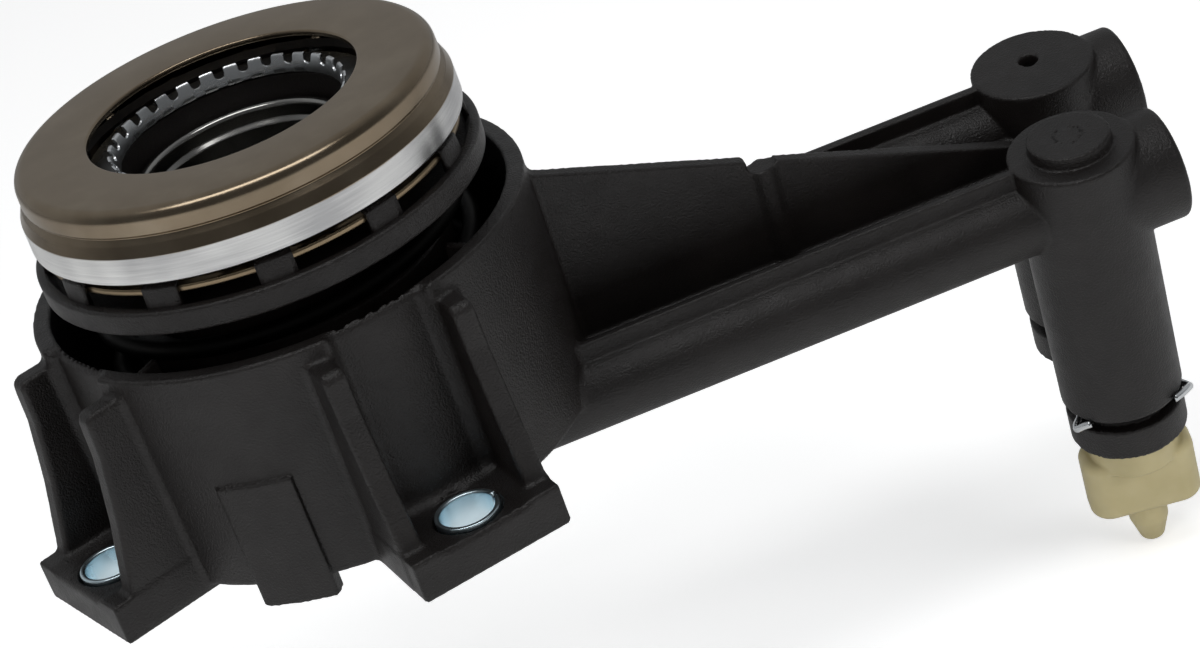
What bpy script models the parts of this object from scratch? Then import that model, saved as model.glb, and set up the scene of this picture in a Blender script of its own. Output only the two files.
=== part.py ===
"""Concentric slave cylinder for a car's clutch.

A moulded housing stands round the gearbox input shaft on three feet. Fluid comes in
through one riser and its pipe, pushes an annular piston along a steel guide tube, and
the piston carries a release bearing. The second riser and pipe let air out through a
bleed screw.

The origin is on the cylinder's axis, in the plane of the undersides of the feet.
+Z runs along the axis towards the bearing, and +X runs along the arm of pipes.
"""

import math

import bmesh
import bpy
from mathutils import Matrix, Vector

MM = 0.001

# Points closer than this count as one
WELD_DISTANCE = 0.0001 * MM

# Clearance kept between pieces that touch or slide on each other
FIT_GAP = 0.3 * MM

# Facets of round pieces
ROUND_STEPS = 32
PIPE_STEPS = 20
SMALL_STEPS = 12
ROD_PHASE = 0.37

# The cup, the outer wall of the housing; its radius follows from the bearing carrier's
CUP_CLEARANCE = 1.08 * MM
CUP_DRAFT = 0.5 * MM
CUP_WALL = 2.56 * MM
CUP_BASE_Z = 1.2 * MM
CUP_RIM_Z = 34.0 * MM
CUP_FLOOR_THICKNESS = 3.8 * MM
RIM_CHAMFER = 0.4 * MM

# The hydraulic cylinder inside the cup
FLUID_RING_WIDTH = 6.05 * MM
BORE_WALL = 3.0 * MM
BORE_TOP_DROP = 3.4 * MM
BORE_LEAD_IN = 0.6 * MM

# Thin ribs on the inside of the cup, which the bearing carrier comes to rest on
GUIDE_RIB_COUNT = 4
GUIDE_RIB_AZIMUTH = 45.0
GUIDE_RIB_THICKNESS = 1.0 * MM
GUIDE_RIB_GAP = 1.34 * MM
GUIDE_RIB_DROP = 0.6 * MM

# Feet, with two ribs each and a pocket between them for the bolt's head
FOOT_AZIMUTHS = (-75.5, -155.8, 64.4)
FOOT_RIM = 1.37 * MM
FOOT_HEIGHT = 6.0 * MM
FOOT_EDGE_ROUND = 0.6 * MM
BOLT_HEAD_ROOM = 3.16 * MM
RIB_THICKNESS = 3.3 * MM
RIB_INSET = 0.05 * MM
RIB_TOP_DROP = 2.4 * MM
RIB_TOP_PROUD = 3.7 * MM
RIB_BEND_PROUD = 3.9 * MM
RIB_BEND_DROP = 9.0 * MM
RIB_KNEE_PROUD = 5.4 * MM
RIB_KNEE_DROP = 18.2 * MM
RIB_FOOT_PROUD = 7.7 * MM
POCKET_DEPTH = 1.6 * MM
POCKET_HALF_WIDTH = 5.4 * MM

# Steel sleeves in the feet
SLEEVE_CUP_GAP = 0.4 * MM
SLEEVE_OUTER_RADIUS = 4.5 * MM
SLEEVE_WALL = 0.75 * MM
SLEEVE_SLIT = 0.8 * MM
SLEEVE_SEAT_WIDTH = 0.9 * MM
SLEEVE_SEAT_DEPTH = 0.4 * MM

# Tongue on the front of the cup, which reaches below the base
TONGUE_AZIMUTHS = (-122.5, -105.5)
TONGUE_PROUD = 1.1 * MM
TONGUE_THICKNESS = 3.4 * MM
TONGUE_LOW_Z = -1.7 * MM
TONGUE_HIGH_Z = 17.3 * MM

# The arm, turned a little about its own length
ARM_ROLL = 6.82
ARM_AXIS_Z = 1.5 * MM
PIPE_RADIUS = 5.5 * MM
PIPE_END_WALL = 0.6 * MM
FIN_HEIGHT = 8.13 * MM
FIN_THICKNESS = 1.5 * MM
WEB_THICKNESS = 2.4 * MM
GUSSET_THICKNESS = 2.2 * MM
GUSSET_ROOT_DROP = 3.3 * MM
GUSSET_ROOT_DEPTH = 3.5 * MM
GUSSET_END_Z = 4.56 * MM
EJECTOR_BOSS_X = 65.8 * MM
EJECTOR_BOSS_RADIUS = 2.2 * MM
EJECTOR_BOSS_DROP = 1.3 * MM

# Risers at the arm's end: the bleed riser in front, the feed riser behind
BLEED_RISER_X = 106.1 * MM
RISER_STAGGER = 4.0 * MM
RISER_SPACE = 5.08 * MM
RISER_RADIUS = 9.03 * MM
RISER_TOP = 8.43 * MM
RISER_LENGTH = 50.0 * MM
RISER_DRAFT = 0.15 * MM
COLLAR_HEIGHT = 5.0 * MM
CLIP_GROOVE_HEIGHT = 2.0 * MM
CLIP_GROOVE_WALL = 0.8 * MM
COLLAR_WALL = 2.5 * MM
COLLAR_CHAMFER = 1.0 * MM
STUB_RADIUS = 8.2 * MM
STUB_LENGTH = 13.3 * MM
TOP_PAD_RADIUS = 5.9 * MM
TOP_PAD_HEIGHT = 1.9 * MM
TOP_DIMPLE_RADIUS = 1.7 * MM
TOP_DIMPLE_DEPTH = 1.5 * MM
TOP_DIMPLE_OFFSET = 2.4 * MM

# Fluid ways
SOCKET_RADIUS = 6.0 * MM
BLEED_SOCKET_DEPTH = 25.2 * MM
FEED_SOCKET_DEPTH = 20.0 * MM
GALLERY_RADIUS = 1.5 * MM
RISER_WAY_RADIUS = 1.2 * MM
PORT_RADIUS = 1.1 * MM
PORT_EDGE = 0.1 * MM
PLUG_RADIUS = 4.0 * MM
PLUG_LENGTH = 6.0 * MM

# Wire clips in the risers' grooves
CLIP_WIRE_RADIUS = 0.55 * MM
CLIP_MOUTH = 96.0
CLIP_TAIL = 1.2 * MM

# Bleed screw
SCREW_TIP_RADIUS = 1.2 * MM
SCREW_TIP_GAP = 0.9 * MM
SCREW_CONE_HEIGHT = 4.0 * MM
SCREW_RING_DROP = 3.0 * MM
SCREW_RING_WIDTH = 2.4 * MM
SCREW_RING_DEPTH = 1.5 * MM
SCREW_NECK_TOP_RADIUS = 6.5 * MM
SCREW_NECK_RADIUS = 6.0 * MM
SCREW_NECK_HEIGHT = 3.7 * MM
WING_WIDTH = 18.4 * MM
WING_HEIGHT = 11.4 * MM
WING_THICKNESS = 8.6 * MM
WING_CORNER = 3.0 * MM
WING_EDGE_ROUND = 0.8 * MM
NOZZLE_RADIUS = 2.9 * MM
NOZZLE_TIP_RADIUS = 1.9 * MM
NOZZLE_LENGTH = 6.9 * MM
NOZZLE_CONE = 1.9 * MM
NOZZLE_HOLE_RADIUS = 1.0 * MM
NOZZLE_HOLE_DEPTH = 9.0 * MM

# Guide tube, pressed into the base, with a rolled bead at its mouth
TUBE_RADIUS = 14.0 * MM
TUBE_WALL = 0.8 * MM
TUBE_RISE = 13.6 * MM
TUBE_STEP_DROP = 3.2 * MM
TUBE_BEAD_PROUD = 1.8 * MM
TUBE_BEAD_HEIGHT = 1.6 * MM
BASE_RING_RADIUS = 0.85 * MM
BASE_RING_DEPTH = 2.3 * MM

# Piston and its seal
PISTON_LIFT = 9.5 * MM
PISTON_SHOULDER_DROP = 4.0 * MM
PISTON_BEAD_GAP = 0.5 * MM
PISTON_SLEEVE_WALL = 2.7 * MM
SEAL_HEIGHT = 4.0 * MM
SEAL_LIP = 1.0 * MM
SEAL_GROOVE_DEPTH = 2.4 * MM

# Bearing carrier
CARRIER_LIFT = 4.56 * MM
CARRIER_PLATE = 3.39 * MM
CARRIER_RIM_WIDTH = 0.96 * MM
CARRIER_LIP = 1.5 * MM
CARRIER_DISH = 1.3 * MM
CARRIER_NECK_WALL = 2.4 * MM
CARRIER_SEAT_WIDTH = 2.8 * MM
CARRIER_SEAT_RISE = 1.05 * MM
CARRIER_SKIRT = 2.0 * MM
SPRING_SEAT_DEPTH = 0.7 * MM
TAB_COUNT = 12
TAB_PHASE = -2.0
TAB_ANGLE = 10.5
TAB_THICKNESS = 0.8 * MM
TAB_HOOK = 0.9 * MM
TAB_HOOK_HEIGHT = 0.6 * MM

# Release bearing
BALL_COUNT = 14
BALL_RADIUS = 3.175 * MM
TRACK_GAP = 0.225 * MM
BALL_LIFT = 5.9 * MM
RACE_WALL = 2.2 * MM
RACE_FLANGE_WIDTH = 1.3 * MM
RACE_FLANGE = 1.0 * MM
RACE_SHOULDER = 1.4 * MM
CAGE_HALF_WIDTH = 3.9 * MM
CAGE_THICKNESS = 1.2 * MM
CAGE_POCKET_GAP = 0.125 * MM
RING_WALL = 2.44 * MM
RING_BAND_HEIGHT = 3.92 * MM
RING_BAND_STEP = 0.24 * MM
RING_TAB_GAP = 0.37 * MM
RING_CROWN = 2.78 * MM
RING_CORNER = 3.2 * MM
RING_HOLE_GAP = 0.7 * MM
RING_LIP = 1.4 * MM
RING_LIP_DROP = 3.1 * MM

# Toothed spring ring that holds the bearing on the carrier's neck
TOOTH_COUNT = 29
TOOTH_SHARE = 0.7
TOOTH_SAMPLES = 4
TOOTH_RING_THICKNESS = 0.6 * MM
TOOTH_RING_GRIP = 1.3 * MM
TOOTH_LEAN = 0.9 * MM
TOOTH_ROOT_HEIGHT = 1.0 * MM
TOOTH_HEIGHT = 2.6 * MM

# Preload spring round the hydraulic cylinder
SPRING_ROOM = 1.45 * MM
SPRING_WIRE_RADIUS = 1.3 * MM
SPRING_TURNS = 4.5
SPRING_STEPS_PER_TURN = 14

# Radii, from the guide tube outwards
TUBE_HOLE_RADIUS = TUBE_RADIUS + FIT_GAP
TUBE_BEAD_RADIUS = TUBE_RADIUS + TUBE_BEAD_PROUD
BORE_RADIUS = TUBE_RADIUS + FLUID_RING_WIDTH
BORE_OUTER_RADIUS = BORE_RADIUS + BORE_WALL
PISTON_SLEEVE_INNER = TUBE_BEAD_RADIUS + PISTON_BEAD_GAP
PISTON_SLEEVE_RADIUS = PISTON_SLEEVE_INNER + PISTON_SLEEVE_WALL
NECK_OUTER_RADIUS = PISTON_SLEEVE_INNER + CARRIER_NECK_WALL
RACE_INNER_RADIUS = NECK_OUTER_RADIUS + FIT_GAP
TRACK_RADIUS = BALL_RADIUS + TRACK_GAP
BALL_CIRCLE = RACE_INNER_RADIUS + RACE_WALL + TRACK_RADIUS
RACE_FLANGE_RADIUS = BALL_CIRCLE + TRACK_RADIUS + RACE_FLANGE_WIDTH
RING_BAND_RADIUS = BALL_CIRCLE + TRACK_RADIUS + RING_WALL
TOOTH_ROOT_RADIUS = PISTON_SLEEVE_INNER + FIT_GAP
TOOTH_TIP_RADIUS = TOOTH_ROOT_RADIUS + TOOTH_LEAN
TOOTH_RING_OUTER = RACE_INNER_RADIUS + TOOTH_RING_GRIP
RING_HOLE_RADIUS = TOOTH_TIP_RADIUS + TOOTH_RING_THICKNESS + RING_HOLE_GAP
SPRING_RADIUS = BORE_OUTER_RADIUS + SPRING_ROOM + SPRING_WIRE_RADIUS
GUIDE_RIB_INNER = SPRING_RADIUS + SPRING_WIRE_RADIUS + GUIDE_RIB_GAP
CARRIER_RADIUS = RACE_FLANGE_RADIUS + FIT_GAP + TAB_THICKNESS + CARRIER_RIM_WIDTH
CUP_INNER_RADIUS = CARRIER_RADIUS + CUP_CLEARANCE
CUP_RADIUS = CUP_INNER_RADIUS + CUP_WALL
SLEEVE_REACH = CUP_RADIUS + SLEEVE_OUTER_RADIUS + SLEEVE_CUP_GAP
FOOT_REACH = SLEEVE_REACH + SLEEVE_OUTER_RADIUS + FOOT_RIM
FOOT_HALF_WIDTH = SLEEVE_OUTER_RADIUS + BOLT_HEAD_ROOM + RIB_THICKNESS
CLIP_GROOVE_RADIUS = SOCKET_RADIUS + CLIP_GROOVE_WALL
COLLAR_RADIUS = SOCKET_RADIUS + COLLAR_WALL

# Heights, from the cup's floor upwards
FLOOR_Z = CUP_BASE_Z + CUP_FLOOR_THICKNESS
BORE_TOP_Z = CUP_RIM_Z - BORE_TOP_DROP
PISTON_LOW_Z = FLOOR_Z + PISTON_LIFT
PISTON_SHOULDER_Z = CUP_RIM_Z - PISTON_SHOULDER_DROP
CARRIER_LOW_Z = CUP_RIM_Z + CARRIER_LIFT
CARRIER_HIGH_Z = CARRIER_LOW_Z + CARRIER_PLATE
CARRIER_SEAT_Z = CARRIER_HIGH_Z + CARRIER_SEAT_RISE
PISTON_TOP_Z = CARRIER_LOW_Z - FIT_GAP
RACE_LOW_Z = CARRIER_SEAT_Z + FIT_GAP
RACE_FLANGE_TOP_Z = RACE_LOW_Z + RACE_FLANGE
BALL_Z = RACE_LOW_Z + BALL_LIFT
RACE_TOP_Z = BALL_Z + RACE_SHOULDER
CARRIER_NECK_TOP_Z = RACE_TOP_Z - FIT_GAP
TAB_TOP_Z = RACE_FLANGE_TOP_Z + FIT_GAP + TAB_HOOK_HEIGHT
RING_LOW_Z = TAB_TOP_Z + RING_TAB_GAP
RING_BAND_TOP_Z = RING_LOW_Z + RING_BAND_HEIGHT
RING_TOP_Z = BALL_Z + TRACK_RADIUS + RING_CROWN
TUBE_TOP_Z = CUP_RIM_Z + TUBE_RISE

# Places along the arm, and the arm's own frame
PIPE_SPREAD = RISER_RADIUS + RISER_SPACE / 2
FEED_RISER_X = BLEED_RISER_X + RISER_STAGGER
PORT_CIRCLE = BORE_RADIUS - PORT_RADIUS - PORT_EDGE
PORT_X = math.sqrt(PORT_CIRCLE ** 2 - PIPE_SPREAD ** 2)
PIPE_INNER_X = PORT_X - PORT_RADIUS - PIPE_END_WALL
GUSSET_ROOT_X = CUP_RADIUS - GUSSET_ROOT_DEPTH
GUSSET_ROOT_Z = CUP_RIM_Z - GUSSET_ROOT_DROP
GUSSET_END_X = BLEED_RISER_X - RISER_RADIUS / 2
RISER_LOW = RISER_TOP - RISER_LENGTH
CLIP_GROOVE_LOW = RISER_LOW + COLLAR_HEIGHT
CLIP_GROOVE_TOP = CLIP_GROOVE_LOW + CLIP_GROOVE_HEIGHT
ARM_FRAME = Matrix.Translation((0, 0, ARM_AXIS_Z)) @ Matrix.Rotation(math.radians(ARM_ROLL), 4, "X")


# Materials

def material(name, colour, roughness, metallic=0.0):
    """Return a Principled material with one colour."""
    made = bpy.data.materials.new(name)
    made.use_nodes = True
    shader = made.node_tree.nodes["Principled BSDF"]
    shader.inputs["Base Color"].default_value = (*colour, 1.0)
    shader.inputs["Roughness"].default_value = roughness
    shader.inputs["Metallic"].default_value = metallic
    return made


# Mesh helpers

def mesh_of(bm):
    """Turn a bmesh into a mesh whose faces point outwards."""
    bmesh.ops.recalc_face_normals(bm, faces=bm.faces)
    mesh = bpy.data.meshes.new("shape")
    bm.to_mesh(mesh)
    bm.free()
    return mesh


def welded(mesh, shift=(0, 0, 0)):
    """Merge points that lie on top of each other, and move the whole by a shift."""
    bm = bmesh.new()
    bm.from_mesh(mesh)
    bmesh.ops.remove_doubles(bm, verts=bm.verts, dist=WELD_DISTANCE)
    bmesh.ops.translate(bm, verts=bm.verts, vec=Vector(shift))
    clean = bpy.data.meshes.new("shape")
    bm.to_mesh(clean)
    bm.free()
    return clean


def moved(mesh, matrix):
    """Move a mesh by a matrix and return it."""
    mesh.transform(matrix)
    return mesh


def turned(profile, steps=ROUND_STEPS):
    """Spin a closed profile of (radius, z) points round Z into a solid."""
    bm = bmesh.new()
    points = [bm.verts.new((r, 0, z)) for r, z in profile]
    pairs = list(zip(points, points[1:] + points[:1]))
    on_axis = [(a, b) for a, b in pairs if a.co.x < 1e-9 and b.co.x < 1e-9]
    edges = [bm.edges.new(pair) for pair in pairs if pair not in on_axis]
    bmesh.ops.spin(bm, geom=points + edges, cent=(0, 0, 0), axis=(0, 0, 1),
                   angle=math.tau, steps=steps, use_merge=True)
    bmesh.ops.remove_doubles(bm, verts=bm.verts, dist=WELD_DISTANCE)
    hubs = [v for v in bm.verts if v.co.xy.length < 1e-9]
    bmesh.ops.dissolve_verts(bm, verts=hubs)
    return mesh_of(bm)


def sector(profile, start, end, steps):
    """Spin a closed profile from one azimuth to another, in degrees, with flat ends."""
    bm = bmesh.new()
    face = bm.faces.new([bm.verts.new((r, 0, z)) for r, z in profile])
    bmesh.ops.rotate(bm, verts=bm.verts, matrix=Matrix.Rotation(math.radians(start), 3, "Z"))
    bmesh.ops.spin(bm, geom=[face, *face.edges, *face.verts], cent=(0, 0, 0), axis=(0, 0, 1),
                   angle=math.radians(end - start), steps=steps)
    bmesh.ops.remove_doubles(bm, verts=bm.verts, dist=WELD_DISTANCE)
    return mesh_of(bm)


def prism(outline, low, high):
    """Extrude a flat outline of (x, y) points from z = low to z = high."""
    bm = bmesh.new()
    face = bm.faces.new([bm.verts.new((x, y, low)) for x, y in outline])
    grown = bmesh.ops.extrude_face_region(bm, geom=[face])
    lifted = [v for v in grown["geom"] if isinstance(v, bmesh.types.BMVert)]
    bmesh.ops.translate(bm, verts=lifted, vec=(0, 0, high - low))
    return mesh_of(bm)


def upright(outline, low, high):
    """Extrude an outline of (x, z) points across Y, from y = low to y = high."""
    return moved(prism(outline, -high, -low), Matrix.Rotation(math.radians(90), 4, "X"))


def block(low, high):
    """A plain box between two corners."""
    outline = [(low[0], low[1]), (high[0], low[1]), (high[0], high[1]), (low[0], high[1])]
    return prism(outline, low[2], high[2])


def rod(radius, low, high, steps=PIPE_STEPS, centre=(0, 0)):
    """An upright cylinder, its facets turned a little from those of turned shapes."""
    bm = bmesh.new()
    middle = Matrix.Translation((centre[0], centre[1], (low + high) / 2)) @ turn(ROD_PHASE * 360 / steps)
    bmesh.ops.create_cone(bm, cap_ends=True, segments=steps, radius1=radius, radius2=radius,
                          depth=high - low, matrix=middle)
    return mesh_of(bm)


def lying_rod(radius, start, end, y, steps=PIPE_STEPS):
    """A cylinder along X at height 0 and a given y."""
    return moved(rod(radius, start, end, steps), Matrix.Translation((0, y, 0))
                 @ Matrix.Rotation(math.radians(90), 4, "Y"))


def arc(centre, radius, start, end, steps):
    """Points of an arc, with angles in degrees."""
    angles = [math.radians(start + (end - start) * i / steps) for i in range(steps + 1)]
    return [(centre[0] + radius * math.cos(a), centre[1] + radius * math.sin(a)) for a in angles]


def merged(shapes):
    """Put several separate meshes into one."""
    bm = bmesh.new()
    for shape in shapes:
        bm.from_mesh(shape)
    mesh = bpy.data.meshes.new("shapes")
    bm.to_mesh(mesh)
    bm.free()
    return mesh


def combined(base, tools, operation):
    """Join a base with all the tools at once (UNION), or cut them all out of it (DIFFERENCE)."""
    scene = bpy.context.scene.collection
    body = bpy.data.objects.new("work_body", base)
    scene.objects.link(body)
    group = bpy.data.collections.new("work_tools")
    scene.children.link(group)
    for tool in tools:
        group.objects.link(bpy.data.objects.new("work_tool", tool))
    modifier = body.modifiers.new("combine", "BOOLEAN")
    modifier.solver = "EXACT"
    modifier.operation = operation
    modifier.operand_type = "COLLECTION"
    modifier.collection = group
    bpy.context.view_layer.update()
    seen = body.evaluated_get(bpy.context.evaluated_depsgraph_get())
    result = bpy.data.meshes.new_from_object(seen)
    for thing in [body, *group.objects]:
        bpy.data.objects.remove(thing)
    bpy.data.collections.remove(group)
    return welded(result)


def joined(base, *tools):
    """Join solids into one."""
    return combined(base, tools, "UNION")


def cut(base, *tools):
    """Cut solids out of a base."""
    return combined(base, tools, "DIFFERENCE")


def wire(points, radius):
    """A round wire along points, as a mesh with closed ends."""
    curve = bpy.data.curves.new("wire", "CURVE")
    curve.dimensions = "3D"
    curve.bevel_depth = radius
    curve.bevel_resolution = 1
    curve.use_fill_caps = True
    spline = curve.splines.new("POLY")
    spline.points.add(len(points) - 1)
    for place, point in zip(spline.points, points):
        place.co = (*point, 1.0)
    holder = bpy.data.objects.new("work_wire", curve)
    bpy.context.scene.collection.objects.link(holder)
    bpy.context.view_layer.update()
    seen = holder.evaluated_get(bpy.context.evaluated_depsgraph_get())
    mesh = bpy.data.meshes.new_from_object(seen)
    bpy.data.objects.remove(holder)
    bm = bmesh.new()
    bm.from_mesh(mesh)
    bmesh.ops.remove_doubles(bm, verts=bm.verts, dist=WELD_DISTANCE)
    return mesh_of(bm)


def piece(name, mesh, surface, origin=(0, 0, 0), parent=None):
    """Make the named object, shaded smooth, with its origin where it turns or slides."""
    clean = welded(mesh, -Vector(origin))
    clean.name = name
    clean.materials.append(surface)
    clean.shade_smooth()
    clean.set_sharp_from_angle(angle=math.radians(35))
    made = bpy.data.objects.new(name, clean)
    made.location = origin
    made.parent = parent
    bpy.context.scene.collection.objects.link(made)
    return made


def turn(degrees):
    """A turn about Z."""
    return Matrix.Rotation(math.radians(degrees), 4, "Z")


# The housing

def cup_body():
    """The cup's outer form as a solid, with its draft and a broken rim edge."""
    profile = [
        (0, CUP_BASE_Z),
        (CUP_RADIUS - CUP_DRAFT, CUP_BASE_Z),
        (CUP_RADIUS, CUP_RIM_Z - RIM_CHAMFER),
        (CUP_RADIUS - RIM_CHAMFER, CUP_RIM_Z),
        (0, CUP_RIM_Z),
    ]
    return turned(profile)


def spring_room():
    """The ring-shaped hollow between the cup's wall and the hydraulic cylinder."""
    over = CUP_RIM_Z + CUP_WALL
    profile = [
        (BORE_OUTER_RADIUS, FLOOR_Z),
        (CUP_INNER_RADIUS - CUP_DRAFT, FLOOR_Z),
        (CUP_INNER_RADIUS, CUP_RIM_Z - RIM_CHAMFER),
        (CUP_INNER_RADIUS + 2 * RIM_CHAMFER, CUP_RIM_Z + RIM_CHAMFER),
        (CUP_INNER_RADIUS + 2 * RIM_CHAMFER, over),
        (0, over),
        (0, BORE_TOP_Z),
        (BORE_OUTER_RADIUS - BORE_LEAD_IN, BORE_TOP_Z),
        (BORE_OUTER_RADIUS, BORE_TOP_Z - BORE_LEAD_IN),
    ]
    half = GUIDE_RIB_THICKNESS / 2
    ribs = []
    for index in range(GUIDE_RIB_COUNT):
        rib = block((GUIDE_RIB_INNER, -half, CUP_BASE_Z),
                    (CUP_RADIUS + CUP_WALL, half, CUP_RIM_Z - GUIDE_RIB_DROP))
        ribs.append(moved(rib, turn(GUIDE_RIB_AZIMUTH + 360 * index / GUIDE_RIB_COUNT)))
    return cut(turned(profile), *ribs)


def cylinder_bore():
    """The piston's bore, the guide tube's hole and the seat of the base seal."""
    ring_seat = TUBE_HOLE_RADIUS + 2 * BASE_RING_RADIUS + FIT_GAP
    profile = [
        (0, CUP_BASE_Z - CUP_WALL),
        (TUBE_HOLE_RADIUS, CUP_BASE_Z - CUP_WALL),
        (TUBE_HOLE_RADIUS, FLOOR_Z - BASE_RING_DEPTH),
        (ring_seat, FLOOR_Z - BASE_RING_DEPTH),
        (ring_seat, FLOOR_Z),
        (BORE_RADIUS, FLOOR_Z),
        (BORE_RADIUS, BORE_TOP_Z - BORE_LEAD_IN),
        (BORE_RADIUS + 2 * BORE_LEAD_IN, BORE_TOP_Z + BORE_LEAD_IN),
        (0, BORE_TOP_Z + BORE_LEAD_IN),
    ]
    return turned(profile)


def foot_solids(azimuth):
    """One foot and its two ribs, which lean in and run up to just under the rim."""
    lug = block((CUP_RADIUS - 1.25 * CUP_WALL, -FOOT_HALF_WIDTH, 0), (FOOT_REACH, FOOT_HALF_WIDTH, FOOT_HEIGHT))
    inner = CUP_RADIUS - 1.5 * CUP_WALL
    foot = CUP_RADIUS + RIB_FOOT_PROUD
    top = CUP_RADIUS + RIB_TOP_PROUD
    rib_top = CUP_RIM_Z - RIB_TOP_DROP
    outline = [
        (inner, FOOT_HEIGHT / 2),
        (foot, FOOT_HEIGHT / 2),
        (foot, FOOT_HEIGHT),
        (CUP_RADIUS + RIB_KNEE_PROUD, CUP_RIM_Z - RIB_KNEE_DROP),
        (CUP_RADIUS + RIB_BEND_PROUD, CUP_RIM_Z - RIB_BEND_DROP),
        (top, rib_top - FOOT_EDGE_ROUND),
        (top - FOOT_EDGE_ROUND, rib_top),
        (inner, rib_top),
    ]
    edge = FOOT_HALF_WIDTH - RIB_INSET
    left = upright(outline, -edge, RIB_THICKNESS - edge)
    right = upright(outline, edge - RIB_THICKNESS, edge)
    return [moved(shape, turn(azimuth)) for shape in (lug, left, right)]


def foot_cuts(azimuth):
    """The sleeve's hole, its shallow seat, and the pocket for the bolt's head."""
    hole = SLEEVE_OUTER_RADIUS + FIT_GAP
    over = FOOT_HEIGHT + SLEEVE_SEAT_DEPTH
    shaft = rod(hole, -SLEEVE_SEAT_DEPTH, over, centre=(SLEEVE_REACH, 0))
    seat = rod(hole + SLEEVE_SEAT_WIDTH, FOOT_HEIGHT - SLEEVE_SEAT_DEPTH, over, centre=(SLEEVE_REACH, 0))
    wall = CUP_RADIUS - POCKET_DEPTH
    span = math.degrees(math.asin(POCKET_HALF_WIDTH / CUP_RADIUS))
    far = CUP_RADIUS + POCKET_DEPTH
    profile = [(wall, FOOT_HEIGHT), (far, FOOT_HEIGHT), (far, CUP_RIM_Z + POCKET_DEPTH),
               (wall, CUP_RIM_Z + POCKET_DEPTH)]
    pocket = sector(profile, -span, span, 6)
    return [moved(shape, turn(azimuth)) for shape in (shaft, seat, pocket)]


def tongue():
    """The flat tongue on the front of the cup."""
    outer = CUP_RADIUS + TONGUE_PROUD
    inner = outer - TONGUE_THICKNESS
    profile = [(inner, TONGUE_LOW_Z), (outer, TONGUE_LOW_Z), (outer, TONGUE_HIGH_Z), (inner, TONGUE_HIGH_Z)]
    return sector(profile, *TONGUE_AZIMUTHS, 5)


def gusset_height(x):
    """Height of the gusset's sloping top edge above the pipes' plane."""
    share = (x - GUSSET_ROOT_X) / (GUSSET_END_X - GUSSET_ROOT_X)
    return GUSSET_ROOT_Z + share * (GUSSET_END_Z - GUSSET_ROOT_Z)


def gusset():
    """The upright web in the arm's middle plane, tall at the cup and low at the risers."""
    inner = CUP_RADIUS - 1.5 * CUP_WALL
    outline = [(inner, 0), (GUSSET_END_X, 0), (GUSSET_END_X, GUSSET_END_Z),
               (GUSSET_ROOT_X, GUSSET_ROOT_Z), (inner, GUSSET_ROOT_Z)]
    half = GUSSET_THICKNESS / 2
    return upright(outline, -half, half)


def arm_solids():
    """Pipes, fins, web, gusset, risers and stubs, in the arm's own frame."""
    half_fin = FIN_THICKNESS / 2
    web_start = CUP_RADIUS - 2 * CUP_WALL
    fin_start = CUP_RADIUS - 1.5 * CUP_WALL
    boss_top = gusset_height(EJECTOR_BOSS_X) - EJECTOR_BOSS_DROP / 2
    shapes = [
        block((web_start, -PIPE_SPREAD, -WEB_THICKNESS / 2), (BLEED_RISER_X, PIPE_SPREAD, WEB_THICKNESS / 2)),
        gusset(),
        rod(EJECTOR_BOSS_RADIUS, 0, boss_top, SMALL_STEPS, (EJECTOR_BOSS_X, 0)),
    ]
    for x, y in ((BLEED_RISER_X, -PIPE_SPREAD), (FEED_RISER_X, PIPE_SPREAD)):
        shapes.append(lying_rod(PIPE_RADIUS, PIPE_INNER_X, x + PIPE_RADIUS / 2, y))
        shapes.append(block((fin_start, y - half_fin, 0), (x - PIPE_RADIUS / 2, y + half_fin, FIN_HEIGHT)))
        shapes.append(lying_rod(STUB_RADIUS, x, x + STUB_LENGTH, y, 28))
        shapes.append(moved(riser(), Matrix.Translation((x, y, 0))))
    shapes.append(rod(TOP_PAD_RADIUS, RISER_TOP - TOP_PAD_HEIGHT, RISER_TOP + TOP_PAD_HEIGHT, 24,
                      (BLEED_RISER_X, -PIPE_SPREAD)))
    return [moved(shape, ARM_FRAME) for shape in shapes]


def riser():
    """A riser as a solid, with the groove for its clip and the collar under it."""
    profile = [
        (0, RISER_TOP),
        (RISER_RADIUS, RISER_TOP),
        (RISER_RADIUS - RISER_DRAFT, CLIP_GROOVE_TOP),
        (CLIP_GROOVE_RADIUS, CLIP_GROOVE_TOP),
        (CLIP_GROOVE_RADIUS, CLIP_GROOVE_LOW),
        (COLLAR_RADIUS, CLIP_GROOVE_LOW),
        (COLLAR_RADIUS, RISER_LOW + COLLAR_CHAMFER),
        (COLLAR_RADIUS - COLLAR_CHAMFER, RISER_LOW),
        (0, RISER_LOW),
    ]
    return turned(profile, 32)


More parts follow.
